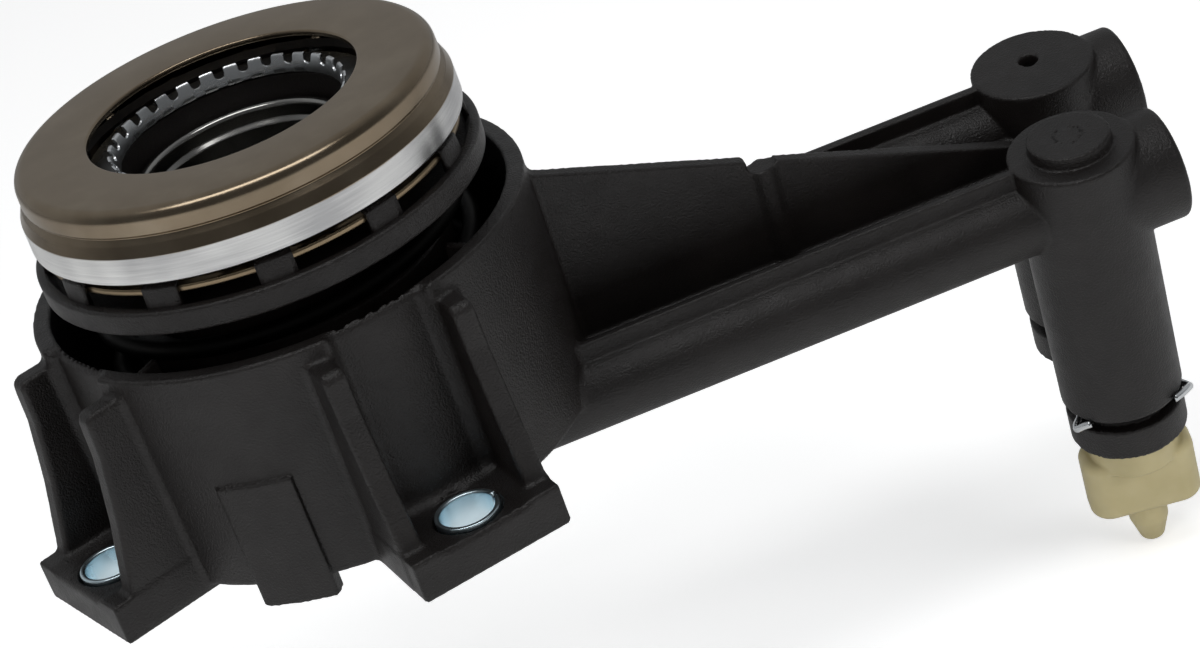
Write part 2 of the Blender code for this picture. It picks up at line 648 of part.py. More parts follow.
def arm_cuts():
    """The sockets, galleries, ports and plug holes, in the arm's own frame."""
    over = STUB_LENGTH
    shapes = []
    ways = ((BLEED_RISER_X, -PIPE_SPREAD, BLEED_SOCKET_DEPTH), (FEED_RISER_X, PIPE_SPREAD, FEED_SOCKET_DEPTH))
    for x, y, depth in ways:
        end = x + STUB_LENGTH
        top = RISER_LOW + depth
        shapes.append(rod(SOCKET_RADIUS, RISER_LOW - over, top, 24, (x, y)))
        shapes.append(rod(RISER_WAY_RADIUS, top - GALLERY_RADIUS, GALLERY_RADIUS / 2, SMALL_STEPS, (x, y)))
        shapes.append(lying_rod(GALLERY_RADIUS, PORT_X - PORT_RADIUS, end, y, SMALL_STEPS))
        shapes.append(lying_rod(PLUG_RADIUS, end - PLUG_LENGTH, end + over, y))
    dimple = (FEED_RISER_X + TOP_DIMPLE_OFFSET, PIPE_SPREAD - TOP_DIMPLE_OFFSET / 2)
    shapes.append(rod(TOP_DIMPLE_RADIUS, RISER_TOP - TOP_DIMPLE_DEPTH, RISER_TOP + over, SMALL_STEPS, dimple))
    notch = EJECTOR_BOSS_RADIUS * 1.2
    notch_low = gusset_height(EJECTOR_BOSS_X) - EJECTOR_BOSS_DROP
    shapes.append(block((EJECTOR_BOSS_X - notch, -notch, notch_low), (EJECTOR_BOSS_X + notch, notch, GUSSET_ROOT_Z)))
    return [moved(shape, ARM_FRAME) for shape in shapes]


def ports():
    """The two upright drillings from the galleries into the cylinder."""
    shapes = []
    for side in (-1, 1):
        low = ARM_FRAME @ Vector((PORT_X, side * PIPE_SPREAD, 0))
        shapes.append(rod(PORT_RADIUS, low.z, FLOOR_Z + CUP_WALL, SMALL_STEPS, (low.x, low.y)))
    return shapes


def housing_mesh():
    """The whole moulding: everything joined first, then hollowed."""
    additions = [tongue(), *arm_solids()]
    hollows = [spring_room(), cylinder_bore(), *arm_cuts(), *ports()]
    for azimuth in FOOT_AZIMUTHS:
        additions += foot_solids(azimuth)
        hollows += foot_cuts(azimuth)
    return cut(joined(cup_body(), *additions), *hollows)


# Pieces that stay in the housing

def sleeve_mesh(azimuth):
    """A rolled sleeve with its slit facing along the foot."""
    inner = SLEEVE_OUTER_RADIUS - SLEEVE_WALL
    profile = [(inner, 0), (SLEEVE_OUTER_RADIUS, 0), (SLEEVE_OUTER_RADIUS, FOOT_HEIGHT), (inner, FOOT_HEIGHT)]
    slit = math.degrees(SLEEVE_SLIT / SLEEVE_OUTER_RADIUS) / 2
    ring = sector(profile, 90 + slit, 450 - slit, PIPE_STEPS)
    return moved(ring, turn(azimuth) @ Matrix.Translation((SLEEVE_REACH, 0, 0)))


def guide_tube_mesh():
    """The drawn tube, widened at its mouth and rolled into a bead."""
    inner = TUBE_RADIUS - TUBE_WALL
    step = TUBE_TOP_Z - TUBE_STEP_DROP
    bead_low = TUBE_TOP_Z - TUBE_BEAD_HEIGHT
    wide = TUBE_BEAD_RADIUS - TUBE_WALL
    profile = [
        (inner, CUP_BASE_Z),
        (TUBE_RADIUS, CUP_BASE_Z),
        (TUBE_RADIUS, step - TUBE_WALL),
        (TUBE_RADIUS + TUBE_WALL, step),
        (TUBE_RADIUS + TUBE_WALL, bead_low),
        *arc((wide, (bead_low + TUBE_TOP_Z) / 2), TUBE_BEAD_HEIGHT / 2, -90, 90, 4),
        (TUBE_RADIUS, TUBE_TOP_Z),
        (TUBE_RADIUS, step + TUBE_WALL / 2),
        (inner, step - TUBE_WALL / 2),
    ]
    return turned(profile)


def torus(major, minor, z, steps=24):
    """A round-section ring about Z."""
    section = arc((major, z), minor, 0, 315, 7)
    return turned(section, steps)


def spring_mesh():
    """The preload spring, with its ends laid against the floor and the carrier."""
    low = FLOOR_Z + FIT_GAP + SPRING_WIRE_RADIUS
    high = CARRIER_LOW_Z + SPRING_SEAT_DEPTH - FIT_GAP - SPRING_WIRE_RADIUS
    count = round(SPRING_TURNS * SPRING_STEPS_PER_TURN)
    points = []
    for index in range(count + 1):
        share = index / count
        turns = SPRING_TURNS * share
        closing = 0.5 - 0.5 * math.cos(math.pi * share)
        rise = 0.35 * closing + 0.65 * share
        angle = math.tau * turns
        points.append((SPRING_RADIUS * math.cos(angle), SPRING_RADIUS * math.sin(angle),
                       low + (high - low) * rise))
    return wire(points, SPRING_WIRE_RADIUS)


def clip_mesh(x, y):
    """An open ring of wire in the riser's groove, with its two tails turned out."""
    radius = CLIP_GROOVE_RADIUS + FIT_GAP + CLIP_WIRE_RADIUS
    height = (CLIP_GROOVE_TOP + CLIP_GROOVE_LOW) / 2
    start = -90 + CLIP_MOUTH / 2
    ring = arc((x, y), radius, start, start + 360 - CLIP_MOUTH, 22)
    centre = Vector((x, y))
    first = Vector(ring[0]) + (Vector(ring[0]) - centre).normalized() * CLIP_TAIL
    last = Vector(ring[-1]) + (Vector(ring[-1]) - centre).normalized() * CLIP_TAIL
    points = [(px, py, height) for px, py in [tuple(first), *ring, tuple(last)]]
    return moved(wire(points, CLIP_WIRE_RADIUS), ARM_FRAME)


def plug_mesh(x, y):
    """The plug that closes a gallery in its stub."""
    end = x + STUB_LENGTH
    plug = lying_rod(PLUG_RADIUS - FIT_GAP, end - PLUG_LENGTH + FIT_GAP, end - FIT_GAP, y)
    return moved(plug, ARM_FRAME)


# The bleed screw

def rounded_rectangle(width, height, corner, steps=4):
    """Outline of a rectangle with round corners, centred on the origin."""
    dx = width / 2 - corner
    dy = height / 2 - corner
    outline = []
    for cx, cy, start in ((dx, dy, 0), (-dx, dy, 90), (-dx, -dy, 180), (dx, -dy, 270)):
        outline += arc((cx, cy), corner, start, start + 90, steps)
    return outline


def wing_mesh(top):
    """The flat wing that fingers turn, with its edges rounded."""
    shape = upright(rounded_rectangle(WING_WIDTH, WING_HEIGHT, WING_CORNER),
                    -WING_THICKNESS / 2, WING_THICKNESS / 2)
    bm = bmesh.new()
    bm.from_mesh(shape)
    rim = [e for e in bm.edges if len({round(v.co.y, 6) for v in e.verts}) == 1]
    bmesh.ops.bevel(bm, geom=rim, offset=WING_EDGE_ROUND, segments=1, affect="EDGES", profile=0.5)
    return moved(mesh_of(bm), Matrix.Translation((0, 0, top - WING_HEIGHT / 2)))


def screw_mesh():
    """Stem with its cone and seal groove, neck, wing and nozzle, about the riser's axis."""
    stem = SOCKET_RADIUS - FIT_GAP
    tip = RISER_LOW + BLEED_SOCKET_DEPTH - SCREW_TIP_GAP
    shoulder = tip - SCREW_CONE_HEIGHT
    groove = shoulder - SCREW_RING_DROP
    neck_top = RISER_LOW - FIT_GAP
    wing_top = neck_top - SCREW_NECK_HEIGHT
    profile = [
        (0, tip),
        (SCREW_TIP_RADIUS, tip),
        (stem, shoulder),
        (stem, groove),
        (stem - SCREW_RING_DEPTH, groove),
        (stem - SCREW_RING_DEPTH, groove - SCREW_RING_WIDTH),
        (stem, groove - SCREW_RING_WIDTH),
        (stem, neck_top),
        (SCREW_NECK_TOP_RADIUS, neck_top),
        (SCREW_NECK_RADIUS, wing_top - WING_EDGE_ROUND),
        (0, wing_top - WING_EDGE_ROUND),
    ]
    low = wing_top - WING_HEIGHT
    end = low - NOZZLE_LENGTH
    nozzle = [
        (0, low + WING_EDGE_ROUND),
        (NOZZLE_RADIUS, low + WING_EDGE_ROUND),
        (NOZZLE_RADIUS, end + NOZZLE_CONE),
        (NOZZLE_TIP_RADIUS, end),
        (0, end),
    ]
    body = joined(turned(profile, 24), wing_mesh(wing_top), turned(nozzle, 16))
    return cut(body, rod(NOZZLE_HOLE_RADIUS, end - NOZZLE_CONE, end + NOZZLE_HOLE_DEPTH, SMALL_STEPS))


def screw_ring_mesh():
    """The rubber ring in the screw's groove."""
    stem = SOCKET_RADIUS - FIT_GAP
    root = stem - SCREW_RING_DEPTH + FIT_GAP
    minor = (stem - root) / 2
    top = RISER_LOW + BLEED_SOCKET_DEPTH - SCREW_TIP_GAP - SCREW_CONE_HEIGHT - SCREW_RING_DROP
    return torus(root + minor, minor, top - SCREW_RING_WIDTH / 2, 20)


# Pieces that slide with the piston

def piston_mesh():
    """The annular piston: a guide at the bottom, a wider sleeve above it."""
    profile = [
        (TUBE_RADIUS + FIT_GAP, PISTON_LOW_Z),
        (BORE_RADIUS - FIT_GAP, PISTON_LOW_Z),
        (BORE_RADIUS - FIT_GAP, PISTON_SHOULDER_Z - BORE_WALL),
        (PISTON_SLEEVE_RADIUS, PISTON_SHOULDER_Z),
        (PISTON_SLEEVE_RADIUS, PISTON_TOP_Z),
        (PISTON_SLEEVE_INNER, PISTON_TOP_Z),
        (PISTON_SLEEVE_INNER, PISTON_SHOULDER_Z),
        (TUBE_RADIUS + FIT_GAP, PISTON_SHOULDER_Z - BORE_WALL / 2),
    ]
    return turned(profile)


def seal_mesh():
    """The twin-lip seal under the piston, open towards the fluid."""
    top = PISTON_LOW_Z - FIT_GAP
    low = top - SEAL_HEIGHT
    inner = TUBE_RADIUS + FIT_GAP
    outer = BORE_RADIUS - FIT_GAP
    profile = [
        (inner, top),
        (inner, low),
        (inner + SEAL_LIP, low),
        (inner + 2 * SEAL_LIP, low + SEAL_GROOVE_DEPTH),
        (outer - 2 * SEAL_LIP, low + SEAL_GROOVE_DEPTH),
        (outer - SEAL_LIP, low),
        (outer, low),
        (outer, top),
    ]
    return turned(profile)


def carrier_mesh():
    """The bearing's carrier: a dished plate with a neck, a skirt and clip tabs."""
    dish = CARRIER_HIGH_Z - CARRIER_DISH
    lip = CARRIER_RADIUS - CARRIER_LIP
    seat = NECK_OUTER_RADIUS + CARRIER_SEAT_WIDTH
    skirt_inner = PISTON_SLEEVE_RADIUS + FIT_GAP
    skirt_outer = skirt_inner + CARRIER_SKIRT
    groove_inner = SPRING_RADIUS - SPRING_WIRE_RADIUS - FIT_GAP
    groove_outer = SPRING_RADIUS + SPRING_WIRE_RADIUS + FIT_GAP
    profile = [
        (PISTON_SLEEVE_INNER, CARRIER_NECK_TOP_Z),
        (NECK_OUTER_RADIUS, CARRIER_NECK_TOP_Z),
        (NECK_OUTER_RADIUS, CARRIER_SEAT_Z),
        (seat, CARRIER_SEAT_Z),
        (seat, dish),
        (lip - CARRIER_LIP / 2, dish),
        (lip, CARRIER_HIGH_Z),
        (CARRIER_RADIUS, CARRIER_HIGH_Z),
        (CARRIER_RADIUS, CARRIER_LOW_Z),
        (groove_outer, CARRIER_LOW_Z),
        (groove_outer, CARRIER_LOW_Z + SPRING_SEAT_DEPTH),
        (groove_inner, CARRIER_LOW_Z + SPRING_SEAT_DEPTH),
        (groove_inner, CARRIER_LOW_Z),
        (skirt_outer, CARRIER_LOW_Z),
        (skirt_outer, CARRIER_LOW_Z - CARRIER_SKIRT),
        (skirt_inner, CARRIER_LOW_Z - CARRIER_SKIRT),
        (skirt_inner, CARRIER_LOW_Z),
        (PISTON_SLEEVE_INNER, CARRIER_LOW_Z),
    ]
    return joined(turned(profile), merged(tab_meshes(dish)))


def tab_meshes(dish):
    """The clip tabs, each an upright wall with a hook over the race's flange."""
    inner = RACE_FLANGE_RADIUS + FIT_GAP
    outer = inner + TAB_THICKNESS
    hook_low = TAB_TOP_Z - TAB_HOOK_HEIGHT
    profile = [
        (inner, dish - CARRIER_DISH / 2),
        (outer, dish - CARRIER_DISH / 2),
        (outer, TAB_TOP_Z),
        (inner - TAB_HOOK, TAB_TOP_Z),
        (inner - TAB_HOOK, hook_low),
        (inner, hook_low),
    ]
    shapes = []
    for index in range(TAB_COUNT):
        middle = TAB_PHASE + 360 * index / TAB_COUNT
        shapes.append(sector(profile, middle - TAB_ANGLE / 2, middle + TAB_ANGLE / 2, 1))
    return shapes


def inner_race_mesh():
    """The pressed inner race, with its ball track and the flange that the tabs hold."""
    track = arc((BALL_CIRCLE, BALL_Z), TRACK_RADIUS, -65, -180, 6)
    profile = [
        (RACE_INNER_RADIUS, RACE_LOW_Z),
        (RACE_FLANGE_RADIUS, RACE_LOW_Z),
        (RACE_FLANGE_RADIUS, RACE_FLANGE_TOP_Z),
        (BALL_CIRCLE + TRACK_RADIUS / 2, RACE_FLANGE_TOP_Z),
        *track,
        (BALL_CIRCLE - TRACK_RADIUS, RACE_TOP_Z),
        (RACE_INNER_RADIUS, RACE_TOP_Z),
    ]
    return turned(profile)


def toothed_ring_mesh():
    """The spring ring: a flat flange whose inner edge turns up into leaning teeth."""
    low = RACE_TOP_Z + FIT_GAP
    thick = TOOTH_RING_THICKNESS
    total = TOOTH_COUNT * TOOTH_SAMPLES
    bm = bmesh.new()
    rings = []
    for index in range(total):
        share = (index % TOOTH_SAMPLES + 0.5) / TOOTH_SAMPLES
        on_tooth = share < TOOTH_SHARE
        height = TOOTH_HEIGHT if on_tooth else TOOTH_ROOT_HEIGHT
        tip = TOOTH_TIP_RADIUS if on_tooth else TOOTH_ROOT_RADIUS
        angle = math.tau * index / total
        section = [
            (TOOTH_RING_OUTER, low),
            (TOOTH_RING_OUTER, low + thick),
            (TOOTH_ROOT_RADIUS + thick, low + thick),
            (tip + thick, low + height),
            (tip, low + height),
            (TOOTH_ROOT_RADIUS, low),
        ]
        rings.append([bm.verts.new((r * math.cos(angle), r * math.sin(angle), z)) for r, z in section])
    for ring, after in zip(rings, rings[1:] + rings[:1]):
        for side in range(len(ring)):
            nearby = (side + 1) % len(ring)
            bm.faces.new((ring[side], ring[nearby], after[nearby], after[side]))
    return mesh_of(bm)


# The turning half of the bearing

def cage_mesh():
    """The cone-shaped cage, lying between the two tracks, with a pocket for each ball."""
    along = Vector((1, -1)).normalized() * CAGE_HALF_WIDTH
    across = Vector((1, 1)).normalized() * CAGE_THICKNESS / 2
    centre = Vector((BALL_CIRCLE, BALL_Z))
    profile = [tuple(centre + along * i + across * j) for i, j in ((-1, -1), (1, -1), (1, 1), (-1, 1))]
    ring = turned(profile, BALL_COUNT * 2)
    pockets = []
    for index in range(BALL_COUNT):
        pocket = rod(BALL_RADIUS + CAGE_POCKET_GAP, -CAGE_THICKNESS * 1.5, CAGE_THICKNESS * 1.5, SMALL_STEPS)
        lean = Matrix.Translation((BALL_CIRCLE, 0, BALL_Z)) @ Matrix.Rotation(math.radians(45), 4, "Y")
        pockets.append(moved(pocket, turn(360 * index / BALL_COUNT) @ lean))
    return cut(ring, merged(pockets))


def ball_mesh():
    """One ball, centred on the origin."""
    bm = bmesh.new()
    bmesh.ops.create_uvsphere(bm, u_segments=8, v_segments=6, radius=BALL_RADIUS)
    return mesh_of(bm)


def thrust_ring_mesh():
    """The turning ring that the clutch's fingers press on, with the outer ball track."""
    side = RING_BAND_RADIUS - RING_BAND_STEP
    lip_outer = RING_HOLE_RADIUS + RING_LIP
    lip_low = RING_TOP_Z - RING_LIP_DROP
    track_side = BALL_CIRCLE + TRACK_RADIUS
    profile = [
        (track_side, RING_LOW_Z),
        (RING_BAND_RADIUS, RING_LOW_Z),
        (RING_BAND_RADIUS, RING_BAND_TOP_Z),
        (side, RING_BAND_TOP_Z),
        *arc((side - RING_CORNER, RING_TOP_Z - RING_CORNER), RING_CORNER, 0, 90, 5),
        *arc((RING_HOLE_RADIUS + RING_LIP, RING_TOP_Z - RING_LIP), RING_LIP, 90, 180, 3),
        (RING_HOLE_RADIUS, lip_low),
        (lip_outer, lip_low),
        (lip_outer, BALL_Z + TRACK_RADIUS),
        *arc((BALL_CIRCLE, BALL_Z), TRACK_RADIUS, 90, 0, 5),
    ]
    return turned(profile)


# Putting it together

def clear_scene():
    """Remove whatever the scene holds."""
    for thing in list(bpy.data.objects):
        bpy.data.objects.remove(thing)


def build():
    clear_scene()
    nylon = material("black_nylon", (0.022, 0.021, 0.022), 0.5)
    zinc = material("zinc_plated_steel", (0.62, 0.66, 0.7), 0.3, 1.0)
    tube_steel = material("drawn_steel", (0.55, 0.55, 0.56), 0.3, 1.0)
    race_steel = material("hardened_steel", (0.24, 0.19, 0.15), 0.35, 1.0)
    ball_steel = material("polished_steel", (0.7, 0.7, 0.7), 0.12, 1.0)
    spring_steel = material("spring_steel", (0.3, 0.3, 0.31), 0.4, 1.0)
    rubber = material("seal_rubber", (0.015, 0.015, 0.015), 0.75)
    cage_nylon = material("cage_nylon", (0.5, 0.48, 0.4), 0.5)
    tan = material("tan_acetal", (0.47, 0.4, 0.23), 0.45)

    housing = piece("housing", housing_mesh(), nylon)
    for index, azimuth in enumerate(FOOT_AZIMUTHS, start=1):
        piece(f"bolt_sleeve_{index}", sleeve_mesh(azimuth), zinc, parent=housing)
    piece("guide_tube", guide_tube_mesh(), tube_steel, parent=housing)
    ring_centre = TUBE_HOLE_RADIUS + BASE_RING_RADIUS
    ring_z = FLOOR_Z - BASE_RING_DEPTH + FIT_GAP + BASE_RING_RADIUS
    piece("tube_seal", torus(ring_centre, BASE_RING_RADIUS, ring_z), rubber, parent=housing)
    piece("preload_spring", spring_mesh(), spring_steel, parent=housing)
    piece("bleed_clip", clip_mesh(BLEED_RISER_X, -PIPE_SPREAD), zinc, parent=housing)
    piece("feed_clip", clip_mesh(FEED_RISER_X, PIPE_SPREAD), zinc, parent=housing)
    piece("bleed_gallery_plug", plug_mesh(BLEED_RISER_X, -PIPE_SPREAD), nylon, parent=housing)
    piece("feed_gallery_plug", plug_mesh(FEED_RISER_X, PIPE_SPREAD), nylon, parent=housing)

    screw_place = ARM_FRAME @ Matrix.Translation((BLEED_RISER_X, -PIPE_SPREAD, 0))
    screw_origin = screw_place @ Vector((0, 0, RISER_LOW))
    screw = piece("bleed_screw", moved(screw_mesh(), screw_place), tan, screw_origin)
    ring = piece("bleed_seal", moved(screw_ring_mesh(), screw_place), rubber, screw_origin, screw)
    ring.location = (0, 0, 0)

    piston = piece("piston", piston_mesh(), nylon)
    piece("piston_seal", seal_mesh(), rubber, parent=piston)
    piece("bearing_carrier", carrier_mesh(), nylon, parent=piston)
    piece("inner_race", inner_race_mesh(), race_steel, parent=piston)
    piece("toothed_ring", toothed_ring_mesh(), zinc, parent=piston)

    cage = piece("ball_cage", cage_mesh(), cage_nylon)
    round_ball = ball_mesh()
    for index in range(BALL_COUNT):
        spot = Matrix.Translation((BALL_CIRCLE, 0, BALL_Z))
        copy = moved(round_ball.copy(), turn(360 * index / BALL_COUNT) @ spot)
        piece(f"ball_{index + 1:02d}", copy, ball_steel, parent=cage)
    piece("thrust_ring", thrust_ring_mesh(), race_steel)

    for spare in list(bpy.data.meshes):
        if spare.users == 0:
            bpy.data.meshes.remove(spare)


build()
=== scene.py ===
# %% [markdown]
# # A concentric slave cylinder
#
# This part sits round the input shaft of a car's gearbox and works the clutch. A black
# nylon housing stands on three feet. Inside it a ring-shaped piston carries a release
# bearing up and down. Two pipes run out along an arm: one brings the fluid, and the other
# lets air out through a tan bleed screw.
#
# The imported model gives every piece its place. This lesson dresses it: each visible
# surface is worked out again with numpy at a finer grain, and gets the material of the
# real thing.

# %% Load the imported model
import math

import bmesh
import bpy
import numpy as np
from mathutils import Matrix, Vector


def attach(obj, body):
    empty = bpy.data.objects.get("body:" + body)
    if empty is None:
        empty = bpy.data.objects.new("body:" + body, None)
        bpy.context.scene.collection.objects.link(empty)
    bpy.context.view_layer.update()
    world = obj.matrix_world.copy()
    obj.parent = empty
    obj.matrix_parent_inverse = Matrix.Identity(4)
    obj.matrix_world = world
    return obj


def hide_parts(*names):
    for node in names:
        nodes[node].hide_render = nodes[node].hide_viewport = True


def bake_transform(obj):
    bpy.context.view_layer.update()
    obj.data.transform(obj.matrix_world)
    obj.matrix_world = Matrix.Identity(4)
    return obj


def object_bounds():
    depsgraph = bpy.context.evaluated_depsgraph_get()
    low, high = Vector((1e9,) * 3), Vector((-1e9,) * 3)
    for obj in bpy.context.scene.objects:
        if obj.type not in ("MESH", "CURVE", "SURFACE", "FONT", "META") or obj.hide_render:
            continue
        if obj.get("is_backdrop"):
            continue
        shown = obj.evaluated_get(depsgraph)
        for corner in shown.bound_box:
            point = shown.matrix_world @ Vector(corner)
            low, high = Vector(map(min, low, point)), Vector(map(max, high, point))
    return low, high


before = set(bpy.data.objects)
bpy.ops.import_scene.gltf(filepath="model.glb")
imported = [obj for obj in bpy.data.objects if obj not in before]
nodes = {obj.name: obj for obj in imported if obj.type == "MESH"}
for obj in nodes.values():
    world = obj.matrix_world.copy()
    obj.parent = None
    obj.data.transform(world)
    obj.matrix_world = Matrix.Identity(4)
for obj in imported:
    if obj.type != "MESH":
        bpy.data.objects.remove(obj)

cad_low, cad_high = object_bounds()
MM = 0.001
print("size in mm:", [round((h - l) / MM, 1) for l, h in zip(cad_low, cad_high)])

# %% [markdown]
# ## The camera
#
# A product photographer stands a good way back with a long lens, so that the part keeps
# its proportions. The numbers below were found by matching known circles and corners of
# the part to the picture: a lens of about 90 mm, looking down at about 27 degrees, and
# rolled by 19 degrees so that the long arm fits the wide frame. The place could also be
# set by eye with an empty as a target. Writing the three axes of the camera into its
# matrix keeps every digit of the match.

# %% Place the camera
CAMERA_AZIMUTH, CAMERA_ELEVATION, CAMERA_ROLL = (math.radians(a) for a in (-5.2068, 27.5235, -19.3094))
CAMERA_LENS = 89.649
CAMERA_PLACE = (34.069, 18.721, 419.477)
CAMERA_SHIFT = (-0.001843, -0.012483)


def camera_axes(azimuth, elevation, roll):
    """Right, up and back of a camera that circles Z by azimuth, rises by elevation and rolls."""
    back = Vector((math.sin(azimuth) * math.cos(elevation), -math.cos(azimuth) * math.cos(elevation),
                   math.sin(elevation)))
    right = Vector((math.cos(azimuth), math.sin(azimuth), 0))
    up = back.cross(right)
    return (right * math.cos(roll) + up * math.sin(roll), up * math.cos(roll) - right * math.sin(roll), back)


axes = camera_axes(CAMERA_AZIMUTH, CAMERA_ELEVATION, CAMERA_ROLL)
spot = sum((axis * step * MM for axis, step in zip(axes, CAMERA_PLACE)), Vector())
lens = bpy.data.cameras.new("camera")
lens.lens = CAMERA_LENS
lens.sensor_width = 36
lens.shift_x, lens.shift_y = CAMERA_SHIFT
lens.clip_start, lens.clip_end = 0.01, 10
camera = bpy.data.objects.new("camera", lens)
camera.matrix_world = Matrix.Translation(spot) @ Matrix([[*row] for row in zip(*axes)]).to_4x4()
bpy.context.scene.collection.objects.link(camera)
bpy.context.scene.camera = camera
print("camera at", [round(c / MM) for c in spot], "mm")

# %% [markdown]
# ## Colours and nodes
#
# Colours are written as sRGB hex values, as a paint chart gives them, and turned to the
# linear numbers that the renderer counts in. A material here is a Principled shader with
# a few texture nodes before it. One small function adds a node, sets its values and
# links its inputs, and the others name what is made with it again and again: a noise, its
# spread, a relief. So each material below reads from top to bottom like a recipe.

# %% Helpers for materials
def linear(hex_colour, alpha=1.0):
    """Linear RGBA of an sRGB hex colour: c/12.92 below 0.04045, else ((c+0.055)/1.055)^2.4."""
    parts = [int(hex_colour[i:i + 2], 16) / 255 for i in (1, 3, 5)]
    return (*[c / 12.92 if c <= 0.04045 else ((c + 0.055) / 1.055) ** 2.4 for c in parts], alpha)


def add(tree, kind, inputs=None, **settings):
    """Add one node, give it its settings, and fill its inputs with values or other sockets."""
    node = tree.nodes.new(kind)
    for name, value in settings.items():
        setattr(node, name, value)
    for name, value in (inputs or {}).items():
        if isinstance(value, bpy.types.NodeSocket):
            tree.links.new(value, node.inputs[name])
        else:
            node.inputs[name].default_value = value
    return node


def new_material(name):
    """A material with an empty tree, its output and the piece's own coordinates in metres."""
    made = bpy.data.materials.new(name)
    made.use_nodes = True
    tree = made.node_tree
    tree.nodes.clear()
    output = add(tree, "ShaderNodeOutputMaterial")
    place = add(tree, "ShaderNodeTexCoord").outputs["Object"]
    return made, tree, output, place


def ramp(tree, factor, stops):
    """A colour ramp with stops of (position, hex colour)."""
    node = add(tree, "ShaderNodeValToRGB", {"Fac": factor})
    elements = node.color_ramp.elements
    elements[0].position, elements[0].color = stops[0][0], linear(stops[0][1])
    elements[1].position, elements[1].color = stops[-1][0], linear(stops[-1][1])
    for position, colour in stops[1:-1]:
        elements.new(position).color = linear(colour)
    return node.outputs["Color"]


def noise(tree, vector, size, detail, roughness=0.5):
    """Noise whose features measure this many millimetres: its scale is a metre over the size."""
    return add(tree, "ShaderNodeTexNoise", {"Vector": vector, "Scale": 1000 / size, "Detail": detail,
                                            "Roughness": roughness}).outputs["Fac"]


def spread(tree, factor, low, high):
    """Turn the range that a noise mostly keeps to, 0.3 to 0.7, into values from low to high."""
    return add(tree, "ShaderNodeMapRange", {"Value": factor, "From Min": 0.3, "From Max": 0.7,
                                            "To Min": low, "To Max": high}).outputs["Result"]


def relief(tree, height, strength, depth):
    """A bump whose depth is given in millimetres."""
    return add(tree, "ShaderNodeBump", {"Height": height, "Strength": strength,
                                        "Distance": depth * MM}).outputs["Normal"]


def principled(tree, output, inputs):
    """The Principled shader with its inputs, linked to the material's output."""
    shader = add(tree, "ShaderNodeBsdfPrincipled", inputs)
    tree.links.new(shader.outputs["BSDF"], output.inputs["Surface"])


# %% [markdown]
# ## Black glass-filled nylon
#
# The housing, the piston and the bearing's carrier are PA66 with glass fibre and carbon
# black, moulded in a tool with a fine spark-eroded grain. The pigment leaves almost no
# colour of its own, so what the eye sees is the sheen: about a twenty-fifth of the white
# room, spread softly, and black where the part only sees itself. The grain is a bump of
# fine noise at about a third of a millimetre, and the patches where the melt flowed
# change the gloss a little.

# %% Mix the nylon
def glass_filled_nylon(name, dark, light, roughness):
    """Moulded nylon: colour clouds of 9 mm, gloss clouds of 3 mm, grain of 0.3 mm."""
    made, tree, output, place = new_material(name)
    principled(tree, output, {
        "Base Color": ramp(tree, noise(tree, place, 9, 3.0), [(0.3, dark), (0.7, light)]),
        "Roughness": spread(tree, noise(tree, place, 3, 2.0), roughness - 0.04, roughness + 0.06),
        "Normal": relief(tree, noise(tree, place, 0.3, 2.0, 0.6), 0.6, 0.26), "IOR": 1.5})
    return made


nylon = glass_filled_nylon("glass_filled_nylon", "#0E0B0A", "#161312", 0.42)
plug_nylon = glass_filled_nylon("plug_nylon", "#0C0B0B", "#121111", 0.36)

# %% [markdown]
# ## Metals
#
# Three kinds of metal show. The thrust ring is bearing steel that took a bronze colour in
# its heat treatment, with one band ground bright. The bolt sleeves, the clips and the
# toothed ring are zinc plated: bright, a little cold. The guide tube is drawn steel. A
# metal's colour is the tint of its reflection, so these are all metallic at 1 and differ
# in tint, in roughness and in their fine marks.

# %% Mix the metals
def marked_steel(name, tint, roughness, mark=0.4, strength=0.15):
    """Steel with a skin of fine marks of this many millimetres, and gloss clouds of 6 mm."""
    made, tree, output, place = new_material(name)
    principled(tree, output, {
        "Base Color": linear(tint), "Metallic": 1.0,
        "Roughness": spread(tree, noise(tree, place, 6, 2.0), roughness * 0.85, roughness * 1.2),
        "Normal": relief(tree, noise(tree, place, mark, 3.0), strength, 0.05)})
    return made


blue_zinc = marked_steel("blue_zinc_plate", "#DDF0F8", 0.28)
bright_zinc = marked_steel("bright_zinc_wire", "#DDE0E2", 0.16)
stamped_steel = marked_steel("stamped_spring_steel", "#DCDFE1", 0.26, strength=0.1)
drawn_steel = marked_steel("drawn_steel", "#A09F9C", 0.2, strength=0.04)
race_bronze = marked_steel("tempered_race_steel", "#94836A", 0.3)
ball_steel = marked_steel("polished_ball_steel", "#D8D8D8", 0.08, strength=0.02)
# The spring's near-black tint is painted shade: it stands for the shade deep in the cup, where little light
# reaches the coil.
spring_steel = marked_steel("shade_darkened_spring_steel", "#252423", 0.5, mark=0.8)

BAND_LOW, BAND_HIGH = 45.57, 49.49


